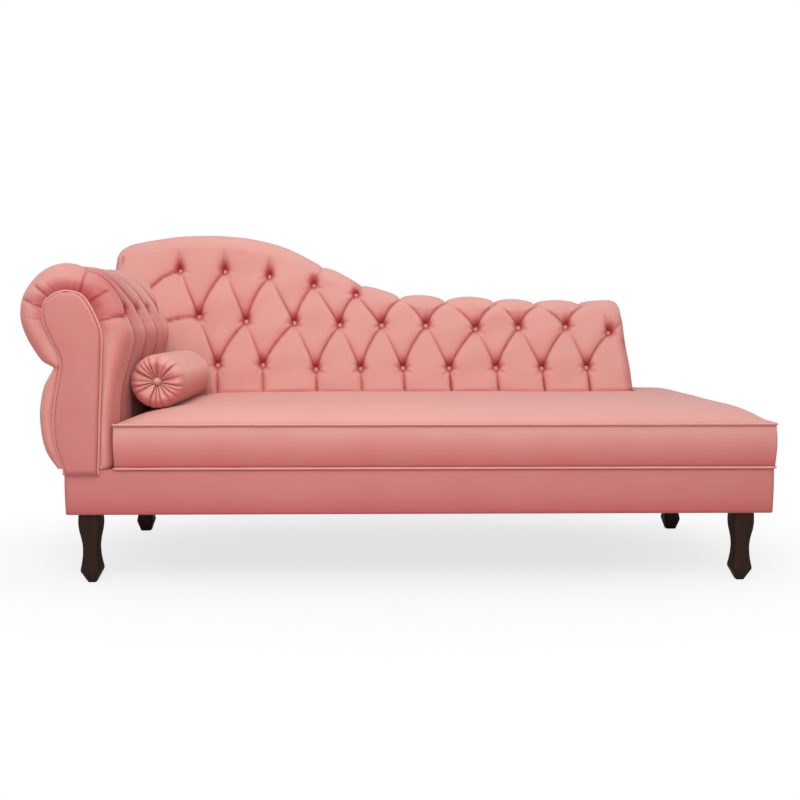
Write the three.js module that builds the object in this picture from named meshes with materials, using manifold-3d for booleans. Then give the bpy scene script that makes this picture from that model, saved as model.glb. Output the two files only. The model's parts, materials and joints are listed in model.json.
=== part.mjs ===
// Upholstered fainting couch: one rolled arm, a buttoned back that falls away along its length,
// a crowned seat pad, four turned-in wooden legs and a loose bolster. Millimetres, +Z up,
// +X along the couch from the arm to the open end, +Y from the sitter's side to the rear.
import * as THREE from 'three';
import { mergeVertices } from 'three/addons/utils/BufferGeometryUtils.js';
import Module from 'manifold-3d';

const wasm = await Module();
wasm.setup();

// Overall sizes of the couch.
const baseLength = 1740;
const baseDepth = 660;
const legHeight = 175;
const baseHeight = 114;
const seatBorderHeight = 107;
const seatCrown = 42;
const seatOverhang = 2;

// Sizes shared by several pieces.
const gap = 0.3;
const overrun = 20;
const coverSkin = 4;
const weltRadius = 3.5;
const weltBend = 4;
const timber = 22;

// Legs and what fastens them.
const legInsetFrontLeft = 52;
const legInsetRearLeft = 41;
const legInsetRight = 67;
const legInsetFront = 38;
const legInsetRear = 42;
const legTopWidth = 52;
const legEase = 3;
const legEaseMaxShare = 1 / 6;
const legCornerShare = 0.3;
const boltDiameter = 8;
const boltInLeg = 30;
const boltInBlock = 32;
const plateWidth = 52;
const plateThickness = 2.5;
const blockReach = 95;
const blockHeight = 60;

// Under-seat support.
const dustThickness = 1.5;
const strapCount = 6;
const strapWidth = 70;
const strapThickness = 1.6;
const crossRailHeight = 70;

// Seat pad.
const frontCrownReach = 150;
const rightCrownReach = 150;
const leftCrownReach = 300;

// Back: its buttoned face leans, its rear is upright and flush with the base.
const backHeight = 500;
const openSeatLength = 212;
const backOverhang = 22;
const backThickness = 150;
const backRecline = THREE.MathUtils.degToRad(8);
const backEndSlopeShare = 0.14;
const backRim = 42;
const scallopRise = 13;
const tuftDepth = 16;
const buttonDrop = 10;
const buttonPitch = 135;
const buttonStart = 254;
const padDepth = 30;
const backFoamThickness = 24;
const backPanelThickness = 6;
const backWall = 6;
const backRailHeight = 70;
const postWidth = 45;

// Arm: a scroll that rolls outwards over the open side.
const armOverhang = 101;
const armWidth = 264;
const armHeight = 500;
const armDrop = 14;
const boardThickness = 18;
const linerThickness = 4;
const armLip = 3;
const facingThickness = 14;
const rearFacingThickness = 3;
const armTuftDepth = 14;
const armButtonPitch = 113;
const armButtonStart = 62;
const stretcherWidth = 44;
const stretcherThickness = 22;

// Bolster.
const bolsterDiameter = 140;
const bolsterSkin = 5;
const bolsterFront = 104;
const bolsterRearClearance = 26;
const bolsterFromSeatEdge = 82;
const bolsterDimple = 14;
const gatherDepth = 3;
const gatherCount = 24;
const bolsterEye = 6;
const bolsterButtonDiameter = 21;
const bolsterButtonHeight = 9;

// Heights and lines worked out from the sizes.
const baseTop = legHeight + baseHeight;
const seatEdge = baseTop + seatBorderHeight;
const seatTop = seatEdge + seatCrown;
const railBottom = legHeight + dustThickness + plateThickness + 2 * gap;
const railTop = baseTop - strapThickness - 2 * gap;
const railInset = coverSkin + gap;
const backLeft = -backOverhang;
const backLength = baseLength + backOverhang - openSeatLength;
const backFront = baseDepth - backThickness;
const bolsterLength = backFront - bolsterFront - bolsterRearClearance;
const backRear = baseDepth - coverSkin;
const armLeft = -armOverhang;
const seatRight = baseLength + seatOverhang;
const seatRearFree = baseDepth - coverSkin - weltRadius;

// The arm's outline from its outer foot over the roll to its inner foot. Each row holds the
// scroll board's point and the padding's point, across and up, as shares of armWidth and armHeight.
const armOutlineShares = [
  [0.39, 0, 0.3, 0], [0.35, 0.06, 0.23, 0.06], [0.32, 0.13, 0.18, 0.13], [0.31, 0.21, 0.16, 0.21],
  [0.32, 0.29, 0.16, 0.29], [0.35, 0.38, 0.19, 0.39], [0.39, 0.49, 0.25, 0.48], [0.38, 0.55, 0.17, 0.53],
  [0.33, 0.61, 0.08, 0.61], [0.27, 0.68, 0.02, 0.69], [0.24, 0.74, 0, 0.75], [0.26, 0.8, 0.02, 0.83],
  [0.31, 0.83, 0.11, 0.91], [0.375, 0.85, 0.24, 0.97], [0.455, 0.86, 0.42, 1], [0.535, 0.855, 0.59, 0.99],
  [0.61, 0.84, 0.74, 0.96], [0.675, 0.8, 0.845, 0.9], [0.73, 0.745, 0.93, 0.81], [0.77, 0.69, 0.98, 0.72],
  [0.79, 0.63, 1, 0.64], [0.78, 0.52, 0.945, 0.53], [0.765, 0.38, 0.875, 0.41], [0.75, 0.26, 0.845, 0.3],
  [0.74, 0.14, 0.825, 0.17], [0.725, 0, 0.82, 0],
];
const seatLineShare = 0.842;
const seatLeft = armLeft + armWidth * seatLineShare;

// The back's top line: along from its left end as a share of backLength, up from the seat's
// edge as a share of backHeight. It is a smooth crest up to the first cusp, then scallops.
const crestShares = [
  [0, 0.862], [0.015, 0.93], [0.07, 0.972], [0.17, 1], [0.232, 0.99], [0.294, 0.952],
  [0.356, 0.882], [0.396, 0.806],
];
const cuspShares = [
  [0.396, 0.806], [0.473, 0.698], [0.548, 0.632], [0.636, 0.608], [0.732, 0.604],
  [0.811, 0.59], [0.899, 0.58], [1, 0.565],
];
const scallopShares = [0.35, 0.5, 0.9, 1, 0.9, 1, 1.5];

// Button rows of the back: heights above the seat's edge as shares of backHeight, left and right,
// and how far the upper row lies below the top line, along the back.
const lowerRowShares = [0.235, 0.222];
const middleRowShares = [0.52, 0.43];
const upperDropShares = [[0, 0.2], [0.3, 0.2], [0.382, 0.132], [0.463, 0.066], [0.55, -0.02], [1, -0.02]];

const colours = {
  fabric: [0xd98880, 0.85, 0],
  walnut: [0x2d1c14, 0.5, 0],
  pine: [0xc9a36a, 0.75, 0],
  plywood: [0xb98f5a, 0.8, 0],
  foam: [0xe8dca0, 0.95, 0],
  webbing: [0x4a4a4a, 0.9, 0],
  steel: [0x9a9da0, 0.4, 1],
  dust: [0x1e1e1e, 0.95, 0],
};

const couch = new THREE.Group();

function add(parent, name, geometry, finish) {
  const [color, roughness, metalness] = colours[finish];
  const material = new THREE.MeshStandardMaterial({ color, roughness, metalness, flatShading: true });
  const mesh = new THREE.Mesh(geometry, material);
  mesh.name = name;
  parent.add(mesh);
  return mesh;
}

// Helpers for closed meshes

const mix = (a, b, share) => a + (b - a) * share;
const clamp = THREE.MathUtils.clamp;
const vec = (x, y, z) => new THREE.Vector3(x, y, z);
const steps = (count) => Array.from({ length: count + 1 }, (_, i) => i / count);

function outward(points, index) {
  let volume = 0;
  for (let t = 0; t < index.length; t += 3) {
    const [a, b, c] = [points[index[t]], points[index[t + 1]], points[index[t + 2]]];
    volume += a.dot(b.clone().cross(c));
  }
  if (volume < 0) index.reverse();
  const geometry = new THREE.BufferGeometry().setFromPoints(points);
  geometry.setIndex(index);
  return geometry;
}

// A flat ring's triangles, all turning the way the ring does.
function capTriangles(ring) {
  const normal = vec(0, 0, 0);
  ring.forEach((p, i) => normal.add(p.clone().cross(ring[(i + 1) % ring.length])));
  const size = normal.toArray().map(Math.abs);
  const drop = size.indexOf(Math.max(...size));
  const [u, v] = [[1, 2], [0, 2], [0, 1]][drop];
  const flat = ring.map((p) => new THREE.Vector2(p.toArray()[u], p.toArray()[v]));
  const turn = Math.sign(THREE.ShapeUtils.area(flat));
  return THREE.ShapeUtils.triangulateShape(flat, []).map(([a, b, c]) => {
    const same = THREE.ShapeUtils.area([flat[a], flat[b], flat[c]]) * turn > 0;
    return same ? [a, b, c] : [a, c, b];
  });
}

// A solid whose rings of points follow each other; flat caps close the first and the last ring.
function loft(rings) {
  const count = rings[0].length;
  const index = [];
  for (let r = 0; r + 1 < rings.length; r += 1) {
    for (let i = 0; i < count; i += 1) {
      const j = (i + 1) % count;
      const [a, b, c, d] = [r * count + i, r * count + j, (r + 1) * count + j, (r + 1) * count + i];
      index.push(a, b, c, a, c, d);
    }
  }
  const last = (rings.length - 1) * count;
  capTriangles(rings[0]).forEach(([a, b, c]) => index.push(a, c, b));
  capTriangles(rings[rings.length - 1]).forEach(([a, b, c]) => index.push(last + a, last + b, last + c));
  return outward(rings.flat(), index);
}

// A solid between two grids of points; keep(i, j) says which cells it has.
function gridSolid(front, rear, keep = () => true) {
  const [columns, rows] = [front.length, front[0].length];
  const at = (i, j) => i * rows + j;
  const behind = (i, j) => columns * rows + at(i, j);
  const has = (i, j) => i >= 0 && j >= 0 && i < columns - 1 && j < rows - 1 && keep(i, j);
  const index = [];
  const quad = (a, b, c, d) => index.push(a, b, c, a, c, d);
  for (let i = 0; i < columns - 1; i += 1) {
    for (let j = 0; j < rows - 1; j += 1) {
      if (!has(i, j)) continue;
      quad(at(i, j), at(i + 1, j), at(i + 1, j + 1), at(i, j + 1));
      quad(behind(i, j), behind(i, j + 1), behind(i + 1, j + 1), behind(i + 1, j));
      if (!has(i - 1, j)) quad(at(i, j), at(i, j + 1), behind(i, j + 1), behind(i, j));
      if (!has(i, j - 1)) quad(at(i + 1, j), at(i, j), behind(i, j), behind(i + 1, j));
      if (!has(i + 1, j)) quad(at(i + 1, j + 1), at(i + 1, j), behind(i + 1, j), behind(i + 1, j + 1));
      if (!has(i, j + 1)) quad(at(i, j + 1), at(i + 1, j + 1), behind(i + 1, j + 1), behind(i, j + 1));
    }
  }
  return outward([...front.flat(), ...rear.flat()], index).toNonIndexed();
}

// A round cord along points that lie in one plane with the given normal.
function cord(points, radius, normal, sides = 6) {
  const rings = points.map((p, i) => {
    const before = points[Math.max(i - 1, 0)];
    const after = points[Math.min(i + 1, points.length - 1)];
    const along = after.clone().sub(before).normalize();
    const across = along.clone().cross(normal);
    const turn = p.clone().sub(before).angleTo(after.clone().sub(p)) / 2;
    const widen = i > 0 && i < points.length - 1 ? 1 / Math.cos(turn) : 1;
    return steps(sides).slice(0, sides).map((share) => {
      const angle = 2 * Math.PI * share;
      const out = across.clone().multiplyScalar(radius * widen * Math.cos(angle));
      return p.clone().add(out).add(normal.clone().multiplyScalar(radius * Math.sin(angle)));
    });
  });
  return loft(rings);
}

function solid(geometry) {
  const bare = new THREE.BufferGeometry();
  const source = geometry.index ? geometry.toNonIndexed() : geometry;
  bare.setAttribute('position', source.getAttribute('position').clone());
  const merged = mergeVertices(bare);
  return new wasm.Manifold(new wasm.Mesh({
    numProp: 3,
    vertProperties: Float32Array.from(merged.getAttribute('position').array),
    triVerts: Uint32Array.from(merged.index.array),
  }));
}

function cut(body, ...tools) {
  const result = tools.reduce((left, tool) => left.subtract(solid(tool)), solid(body)).getMesh();
  const geometry = new THREE.BufferGeometry();
  geometry.setAttribute('position', new THREE.BufferAttribute(result.vertProperties, 3));
  geometry.setIndex(new THREE.BufferAttribute(result.triVerts, 1));
  return geometry;
}

function box(x0, x1, y0, y1, z0, z1) {
  const geometry = new THREE.BoxGeometry(x1 - x0, y1 - y0, z1 - z0);
  geometry.translate((x0 + x1) / 2, (y0 + y1) / 2, (z0 + z1) / 2);
  return geometry;
}

// A flat plate lying level: its outline and round holes in plan, from z0 to z1.
function plate(outline, holes, holeRadius, z0, z1) {
  const corners = outline.map(([x, y]) => new THREE.Vector2(x, y));
  if (THREE.ShapeUtils.isClockWise(corners)) corners.reverse();
  const shape = new THREE.Shape(corners);
  holes.forEach(([x, y]) => {
    const hole = new THREE.Path();
    hole.absarc(x, y, holeRadius, 0, 2 * Math.PI, true);
    shape.holes.push(hole);
  });
  const options = { depth: z1 - z0, bevelEnabled: false, curveSegments: 6 };
  const geometry = new THREE.ExtrudeGeometry(shape, options);
  geometry.translate(0, 0, z0);
  return geometry;
}

// A smooth line through a table's points, read at one place along it.
function lineAt(table, along) {
  const last = table.length - 1;
  const k = clamp(table.findIndex(([x]) => x > along) - 1, -1, last - 1);
  const i = k < 0 ? (along <= table[0][0] ? 0 : last - 1) : k;
  const slope = (n) => {
    const [a, b] = [table[Math.max(n - 1, 0)], table[Math.min(n + 1, last)]];
    return (b[1] - a[1]) / (b[0] - a[0]);
  };
  const width = table[i + 1][0] - table[i][0];
  const t = clamp((along - table[i][0]) / width, 0, 1);
  const [m0, m1] = [slope(i) * width, slope(i + 1) * width];
  const rise = t * t * (3 - 2 * t);
  return mix(table[i][1], table[i + 1][1], rise) + m0 * t * (1 - t) ** 2 - m1 * t * t * (1 - t);
}

// Base frame

const legPlaces = {
  front_left: [legInsetFrontLeft, legInsetFront],
  front_right: [baseLength - legInsetRight, legInsetFront],
  rear_left: [legInsetRearLeft, baseDepth - legInsetRear],
  rear_right: [baseLength - legInsetRight, baseDepth - legInsetRear],
};
const boltHole = boltDiameter / 2 + gap;
const boltSides = 12;

function buildBaseFrame() {
  const [x0, x1, y0, y1] = [railInset, baseLength - railInset, railInset, baseDepth - railInset];
  const inner = timber + gap;
  add(couch, 'front_rail', box(x0 + inner, x1 - inner, y0, y0 + timber, railBottom, railTop), 'pine');
  add(couch, 'rear_rail', box(x0 + inner, x1 - inner, y1 - timber, y1, railBottom, railTop), 'pine');
  add(couch, 'left_end_rail', box(x0, x0 + timber, y0, y1, railBottom, baseTop - gap), 'pine');
  add(couch, 'right_end_rail', box(x1 - timber, x1, y0, y1, railBottom, baseTop - gap), 'pine');
  [1, 2].forEach((n) => {
    const x = mix(x0, x1, n / 3);
    const cross = box(x - timber / 2, x + timber / 2, y0 + inner, y1 - inner, railBottom,
      railBottom + crossRailHeight);
    add(couch, `cross_rail_${n}`, cross, 'pine');
  });
}

function buildLegFastening() {
  Object.entries(legPlaces).forEach(([name, [x, y]]) => {
    const toRight = x > baseLength / 2 ? -1 : 1;
    const toRear = y > baseDepth / 2 ? -1 : 1;
    const corner = railInset + timber + gap;
    const cx = toRight > 0 ? corner : baseLength - corner;
    const cy = toRear > 0 ? corner : baseDepth - corner;
    const triangle = [[cx, cy], [cx + toRight * blockReach, cy], [cx, cy + toRear * blockReach]];
    const block = plate(triangle, [[x, y]], boltHole, railBottom, railBottom + blockHeight);
    add(couch, `corner_block_${name}`, block, 'pine');
    const half = plateWidth / 2;
    const square = [[x - half, y - half], [x + half, y - half], [x + half, y + half], [x - half, y + half]];
    const plateBottom = legHeight + dustThickness + gap;
    const steel = plate(square, [[x, y]], boltHole, plateBottom, plateBottom + plateThickness);
    add(couch, `leg_plate_${name}`, steel, 'steel');
    const boltRadius = boltDiameter / 2;
    const bolt = new THREE.CylinderGeometry(boltRadius, boltRadius, boltInLeg + boltInBlock, boltSides);
    bolt.rotateX(Math.PI / 2);
    bolt.translate(x, y, legHeight + (boltInBlock - boltInLeg) / 2);
    add(couch, `leg_bolt_${name}`, bolt, 'steel');
  });
}

// A leg's width at a height, both as shares of legTopWidth and legHeight: a flare above the foot,
// a waist, and a straight block on top. The rear feet are blunter than the front ones.
const legWidthShares = [
  [0.175, 0.95], [0.26, 0.87], [0.38, 0.755], [0.5, 0.72], [0.62, 0.79], [0.78, 1], [1, 1],
];
const footShares = { front: 0.36, rear: 0.56 };

function buildLeg(name, x, y) {
  const square = (width, z) => {
    const ease = Math.min(legEase, width * legEaseMaxShare);
    const rounded = ease * legCornerShare;
    const half = width / 2;
    const corners = [[1, 1], [-1, 1], [-1, -1], [1, -1]];
    return corners.flatMap(([sx, sy]) => {
      const first = [x + sx * half, y + sy * (half - ease)];
      const middle = [x + sx * (half - rounded), y + sy * (half - rounded)];
      const second = [x + sx * (half - ease), y + sy * half];
      const run = sx * sy > 0 ? [first, middle, second] : [second, middle, first];
      return run.map(([px, py]) => vec(px, py, z));
    });
  };
  const hole = (z) => steps(boltSides).slice(0, boltSides).map((share) => {
    const angle = Math.PI / boltSides + 2 * Math.PI * share;
    const around = boltHole / Math.cos(Math.PI / boltSides);
    return vec(x + around * Math.cos(angle), y + around * Math.sin(angle), z);
  });
  const top = legHeight - gap;
  const foot = name.startsWith('rear') ? footShares.rear : footShares.front;
  const rings = [[0, foot], ...legWidthShares].map(([high, wide]) => square(legTopWidth * wide, top * high));
  rings.push(hole(top), hole(legHeight - boltInLeg - gap));
  add(couch, `leg_${name}`, loft(rings), 'walnut');
}

function buildWebbing() {
  const first = seatLeft + strapWidth / 2;
  const last = baseLength - railInset - timber - strapWidth;
  steps(strapCount - 1).forEach((share, n) => {
    const x = mix(first, last, share);
    const strap = box(x - strapWidth / 2, x + strapWidth / 2, railInset, baseDepth - railInset,
      railTop + gap, railTop + gap + strapThickness);
    add(couch, `webbing_strap_${n + 1}`, strap, 'webbing');
  });
}

// The seam welt lies half in the covers, where the seat's border meets the base.
function buildBaseCovers() {
  const [z0, z1] = [legHeight, baseTop - gap];
  const inner = coverSkin + gap;
  const panels = {
    front: box(0, baseLength, 0, coverSkin, z0, z1),
    rear: box(0, baseLength, baseDepth - coverSkin, baseDepth, z0, z1),
    left: box(0, coverSkin, inner, baseDepth - inner, z0, z1),
    right: box(baseLength - coverSkin, baseLength, inner, baseDepth - inner, z0, z1),
  };
  const groove = cord(seamPath(overrun), weltRadius + gap, vec(0, 0, 1));
  Object.entries(panels).forEach(([side, panel]) => {
    const body = side === 'front' || side === 'right' ? cut(panel, groove) : panel;
    add(couch, `base_cover_${side}`, body, 'fabric');
  });
  const under = [[inner, inner], [baseLength - inner, inner], [baseLength - inner, baseDepth - inner],
    [inner, baseDepth - inner]];
  const dust = plate(under, Object.values(legPlaces), boltHole, legHeight, legHeight + dustThickness);
  add(couch, 'dust_cover', dust, 'dust');
}

// The plane of the back's pillows, which leans back as it rises.
const backFace = (z) => backFront + (z - seatTop) * Math.tan(backRecline);

// Seat pad

const weltBendSteps = 4;

// A welt's path: along the front from the arm, round the right corner, back along the open end.
function cornerPath(left, right, front, rear, z) {
  const [cx, cy] = [right - weltBend, front + weltBend];
  const bend = steps(weltBendSteps).map((share) => {
    const angle = (share - 1) * Math.PI / 2;
    return vec(cx + weltBend * Math.cos(angle), cy + weltBend * Math.sin(angle), z);
  });
  return [vec(left, front, z), ...bend, vec(right, rear, z)];
}

function seamPath(extra) {
  return cornerPath(seatLeft - extra, seatRight, 0, seatRearFree + extra, baseTop);
}

function edgePath(extra) {
  return cornerPath(seatLeft - extra, seatRight, 0, seatRearFree + extra, seatEdge);
}

function seatHeight(x, y) {
  const rise = (distance, reach) => 1 - (1 - clamp(distance / reach, 0, 1)) ** 3;
  const across = rise(x - seatLeft, leftCrownReach) * rise(seatRight - x, rightCrownReach);
  return seatEdge + seatCrown * across * rise(y, frontCrownReach);
}

// The seat's lines of points: from the arm to the middle, on to the back's end, and to the open
// end; from the front to the back's face, and on to the rear.
const seatArmShares = [0, 0.06, 0.15, 0.3, 0.45, 0.6, 0.8, 1];
const seatMiddleShares = [0.25, 0.5, 0.75, 1];
const seatOpenShares = [0.3, 0.6, 0.8, 0.93, 1];
const seatFrontShares = [0, 0.03, 0.08, 0.16, 0.3, 0.5, 0.75, 1];
const seatRearShares = [0.33, 0.67, 1];
const seatColumnsByBack = seatArmShares.length + seatMiddleShares.length - 1;

// Where the back ends, the pad runs on to the rear of the base.
function seatSolid(inset, lower, bottom) {
  const [x0, x1] = [seatLeft + inset, seatRight - inset];
  const notch = backLeft + backLength + gap + inset;
  const rowsAt = (z) => {
    const [y0, y1, y2] = [inset, backFace(z) - gap - inset, baseDepth - inset];
    return [...seatFrontShares.map((s) => mix(y0, y1, s)), ...seatRearShares.map((s) => mix(y1, y2, s))];
  };
  const middle = (x0 + notch) / 2;
  const xs = [...seatArmShares.map((s) => mix(x0, middle, s)),
    ...seatMiddleShares.map((s) => mix(middle, notch, s)), ...seatOpenShares.map((s) => mix(notch, x1, s))];
  const top = xs.map((x) => rowsAt(seatTop).map((guess, row) => {
    const z = seatHeight(x, guess) - lower;
    return vec(x, rowsAt(z)[row], z);
  }));
  const under = xs.map((x) => rowsAt(bottom).map((y) => vec(x, y, bottom)));
  return gridSolid(top, under, (i, j) => i >= seatColumnsByBack || j < seatFrontShares.length - 1);
}

function buildSeat() {
  const bottom = baseTop + gap;
  add(couch, 'seat_foam', seatSolid(coverSkin + gap, coverSkin + gap, bottom), 'foam');
  const hollow = seatSolid(coverSkin, coverSkin, bottom - overrun);
  const up = vec(0, 0, 1);
  const grooves = [edgePath(overrun), seamPath(overrun)].map((path) => cord(path, weltRadius + gap, up));
  add(couch, 'seat_cover', cut(seatSolid(0, 0, bottom), hollow, ...grooves), 'fabric');
  add(couch, 'seat_edge_welt', cord(edgePath(0), weltRadius, up), 'fabric');
  add(couch, 'seat_seam_welt', cord(seamPath(0), weltRadius, up), 'fabric');
}

// Back

// A place along the back at a height: the open end leans in, and the last pitches lean with it.
const leaningPitches = 1.5;

function backX(along, z) {
  const straight = backLength - leaningPitches * buttonPitch;
  const slide = clamp((along - straight) / (backLength - straight), 0, 1);
  return backLeft + along - slide * Math.max(0, z - seatEdge) * backEndSlopeShare;
}

function backTop(x) {
  const share = clamp((x - backLeft) / backLength, 0, 1);
  if (share < cuspShares[0][0]) return seatEdge + backHeight * lineAt(crestShares, share);
  const span = clamp(cuspShares.findIndex(([at]) => at > share) - 1, 0, cuspShares.length - 2);
  const i = share >= 1 ? cuspShares.length - 2 : span;
  const [[a, high], [b, low]] = [cuspShares[i], cuspShares[i + 1]];
  const t = (share - a) / (b - a);
  return seatEdge + backHeight * mix(high, low, t) + scallopRise * scallopShares[i] * Math.sin(Math.PI * t);
}

// The lattice of pillows. pillowPower sets how full they are, buttonSpread how fast the pocket
// round a button closes, and the folds below the lower row have belowShare of the depth.
const pillowPower = 0.4;
const buttonSpread = 1.6;
const belowShare = 0.8;
const middlePart = 0.5;
const pillowAt = (along, lean) => Math.abs(Math.sin(Math.PI * (along + lean))
  * Math.sin(Math.PI * (along - lean))) ** pillowPower;

// Button lattice: along in pitches, up in rows from the lower row.
function tuft(x, z) {
  const share = clamp((x - backLeft) / backLength, 0, 1);
  const along = (x - backLeft - buttonStart) / buttonPitch;
  const lower = seatEdge + backHeight * mix(...lowerRowShares, share);
  const middle = seatEdge + backHeight * mix(...middleRowShares, share);
  const upper = backTop(x) - backHeight * lineAt(upperDropShares, share);
  const above = z > middle ? 1 + (z - middle) / (upper - middle) : (z - lower) / (middle - lower);
  const row = clamp(above, 0, 2);
  const lean = (row - 1) / 2;
  const pillow = pillowAt(along, lean);
  const offRow = Math.abs(above - Math.round(row));
  const button = Math.max(0, 1 - offRow / middlePart) * Math.max(0, 1 - pillow * buttonSpread);
  return tuftDepth * (1 - pillow) * (above < 0 ? belowShare : 1) + buttonDrop * button;
}

const betweenRowShares = [0.25, 0.5, 0.75, 1];
const aboveRowShares = [0.17, 0.34, 0.5, 0.66, 0.8, 0.9, 0.965, 1];

function backRows(x) {
  const share = clamp((x - backLeft) / backLength, 0, 1);
  const lower = seatEdge + backHeight * mix(...lowerRowShares, share);
  const middle = seatEdge + backHeight * mix(...middleRowShares, share);
  const top = backTop(x);
  const belowRows = [baseTop + gap, seatTop, mix(seatTop, lower, middlePart), lower];
  const betweenRows = betweenRowShares.map((s) => mix(lower, middle, s));
  const aboveRows = aboveRowShares.map((s) => mix(middle, top, s));
  return [...belowRows, ...betweenRows, ...aboveRows];
}

// The pad's columns stand a quarter pitch apart, with a few more across each end's rounding.
const endRoundShares = [0.25, 0.6];
const rimTuftShare = 0.25;

function backPadding() {
  const quarter = buttonPitch / 4;
  const count = Math.floor((backLength - buttonStart) / quarter);
  const first = buttonStart - quarter * Math.floor((buttonStart - quarter / 2) / quarter);
  const inner = [];
  for (let x = first; x < buttonStart + quarter * count - quarter / 2; x += quarter) inner.push(x);
  const xs = [0, ...endRoundShares.map((s) => s * first), ...inner,
    ...endRoundShares.map((s) => mix(inner[inner.length - 1], backLength, s)), backLength];
  const front = xs.map((along) => backRows(backLeft + along).map((z) => {
    const edge = Math.min(along, backLength - along, Math.max(0, backTop(backLeft + along) - z));
    const bend = 1 - clamp(edge / backRim, 0, 1);
    const round = backRim * (1 - Math.sqrt(1 - bend * bend));
    const fade = clamp(edge / backRim, rimTuftShare, 1);
    return vec(backX(along, z), backFace(z) + round + tuft(backLeft + along, z) * fade, z);
  }));
  const rear = front.map((column) => column.map((p) => vec(p.x, backRear - gap, p.z)));
  return gridSolid(front, rear);
}

// A slab of the back's outline, drawn in by inset; nearAt and farAt give its faces at a height.
// Where the top line slopes, it comes down slopeShare times as far as the sides come in.
const slabColumns = 44;
const slopeShare = 1.4;

function backSlab(inset, bottom, nearAt, farAt) {
  const alongs = steps(slabColumns).map((s) => mix(inset, backLength - inset, s));
  const grid = (faceAt) => alongs.map((along) => {
    const top = backTop(backLeft + along) - inset * slopeShare;
    return [bottom, seatEdge, seatTop, top].map((z) => vec(backX(along, z), faceAt(z), z));
  });
  return gridSolid(grid(nearAt), grid(farAt));
}

const postDropShare = 3;

function buildBack() {
  const bottom = baseTop + gap;
  const foamFront = (z) => backFace(z) + padDepth;
  const foamRear = (z) => foamFront(z) + backFoamThickness;
  const panelRear = (z) => foamRear(z) + gap + backPanelThickness;
  const hollow = backSlab(backWall, bottom - overrun, foamFront, () => baseDepth + overrun);
  add(couch, 'back_cover', cut(backPadding(), hollow), 'fabric');
  const inside = backWall + gap;
  add(couch, 'back_foam', backSlab(inside, bottom, (z) => foamFront(z) + gap, foamRear), 'foam');
  add(couch, 'back_panel', backSlab(inside, bottom, (z) => foamRear(z) + gap, panelRear), 'plywood');
  const rear = backRear - gap;
  const beam = (x0, x1, foot, top) => {
    const section = [[panelRear(foot) + gap, foot], [panelRear(top) + gap, top], [rear, top], [rear, foot]];
    return loft([x0, x1].map((x) => section.map(([y, z]) => vec(x, y, z))));
  };
  const railTopLine = bottom + backRailHeight;
  const railRight = backX(backLength, railTopLine) - inside;
  add(couch, 'back_bottom_rail', beam(backLeft + inside, railRight, bottom, railTopLine), 'pine');
  const postShares = { left: 0.04, middle: 0.42, right: 0.9 };
  const postDrop = backWall * postDropShare;
  Object.entries(postShares).forEach(([side, share]) => {
    const x = backLeft + backLength * share;
    const top = Math.min(backTop(x), backTop(x + postWidth)) - postDrop;
    add(couch, `back_post_${side}`, beam(x, x + postWidth, railTopLine + gap, top), 'pine');
  });
  const skinRear = baseDepth;
  add(couch, 'back_rear_cover', backSlab(0, bottom, () => backRear, () => skinRear), 'fabric');
}

// Arm

const armX = (share) => armLeft + armWidth * share;
const armZ = (share) => baseTop + gap + (armHeight - gap) * share;
const armPoint = (x, z) => new THREE.Vector2(armX(x), armZ(z));
const boardCurve = new THREE.SplineCurve(armOutlineShares.map(([x, z]) => armPoint(x, z)));
const padCurve = new THREE.SplineCurve(armOutlineShares.map(([, , x, z]) => armPoint(x, z)));
const armSteps = 38;
const armRear = (z) => backFace(z) - 2 * gap - rearFacingThickness;

// A point of the arm's outline: s runs from the outer foot to the inner foot, out from the
// scroll board's edge (0) to the padding's face (1).
function armOutline(s, out) {
  const a = boardCurve.getPoint(s);
  const b = padCurve.getPoint(s);
  return [mix(a.x, b.x, out), Math.max(mix(a.y, b.y, out), baseTop + gap)];
}

// The outline pushed out by a fixed distance.
const tangentShare = 0.004;

function armOffset(s, distance) {
  const a = boardCurve.getPoint(s);
  const [before, after] = [Math.max(s - tangentShare, 0), Math.min(s + tangentShare, 1)];
  const tangent = boardCurve.getPoint(after).sub(boardCurve.getPoint(before));
  const normal = new THREE.Vector2(-tangent.y, tangent.x).normalize();
  return [a.x + normal.x * distance, Math.max(a.y + normal.y * distance, baseTop + gap)];
}

const inPlane = (points, yAt) => points.map(([x, z]) => vec(x, yAt(z), z));

// A sleeve round the arm. Each ring has its place from front (0) to rear (1), the distance that
// the front stands back, and its inner and outer lines as functions of s.
function armSleeve(rings) {
  const around = steps(armSteps);
  return loft(rings.map(({ place, start, inner, outer }) => {
    const points = [...around.map(outer), ...around.map(inner).reverse()];
    return inPlane(points, (z) => mix(start, armRear(z), place));
  }));
}

// How far out the arm's layers lie between the scroll board and the padding's face.
const foamShare = 0.4;
const coverShare = 0.44;
const lipShares = [0.02, 0.5];

// Towards the back the padding is drawn in: a little on the outer side, more on the inner side,
// from rollShares[0] of the way round to rollShares[1].
const rearDrawnShares = [0.96, 0.6];
const rollShares = [0.48, 0.66];

function rearDrawn(s) {
  return mix(...rearDrawnShares, clamp((s - rollShares[0]) / (rollShares[1] - rollShares[0]), 0, 1));
}

// Buttons of the arm: one row on the inner side, one along the top, half a pitch apart.
const innerRowShare = 0.735;
const topRowShare = 0.575;

// The arm's folds end above the top row, and fade out towards the inner foot.
const foldsEnd = 1.6;
const foldsFade = 0.6;
const footFadeShare = 0.12;

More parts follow.
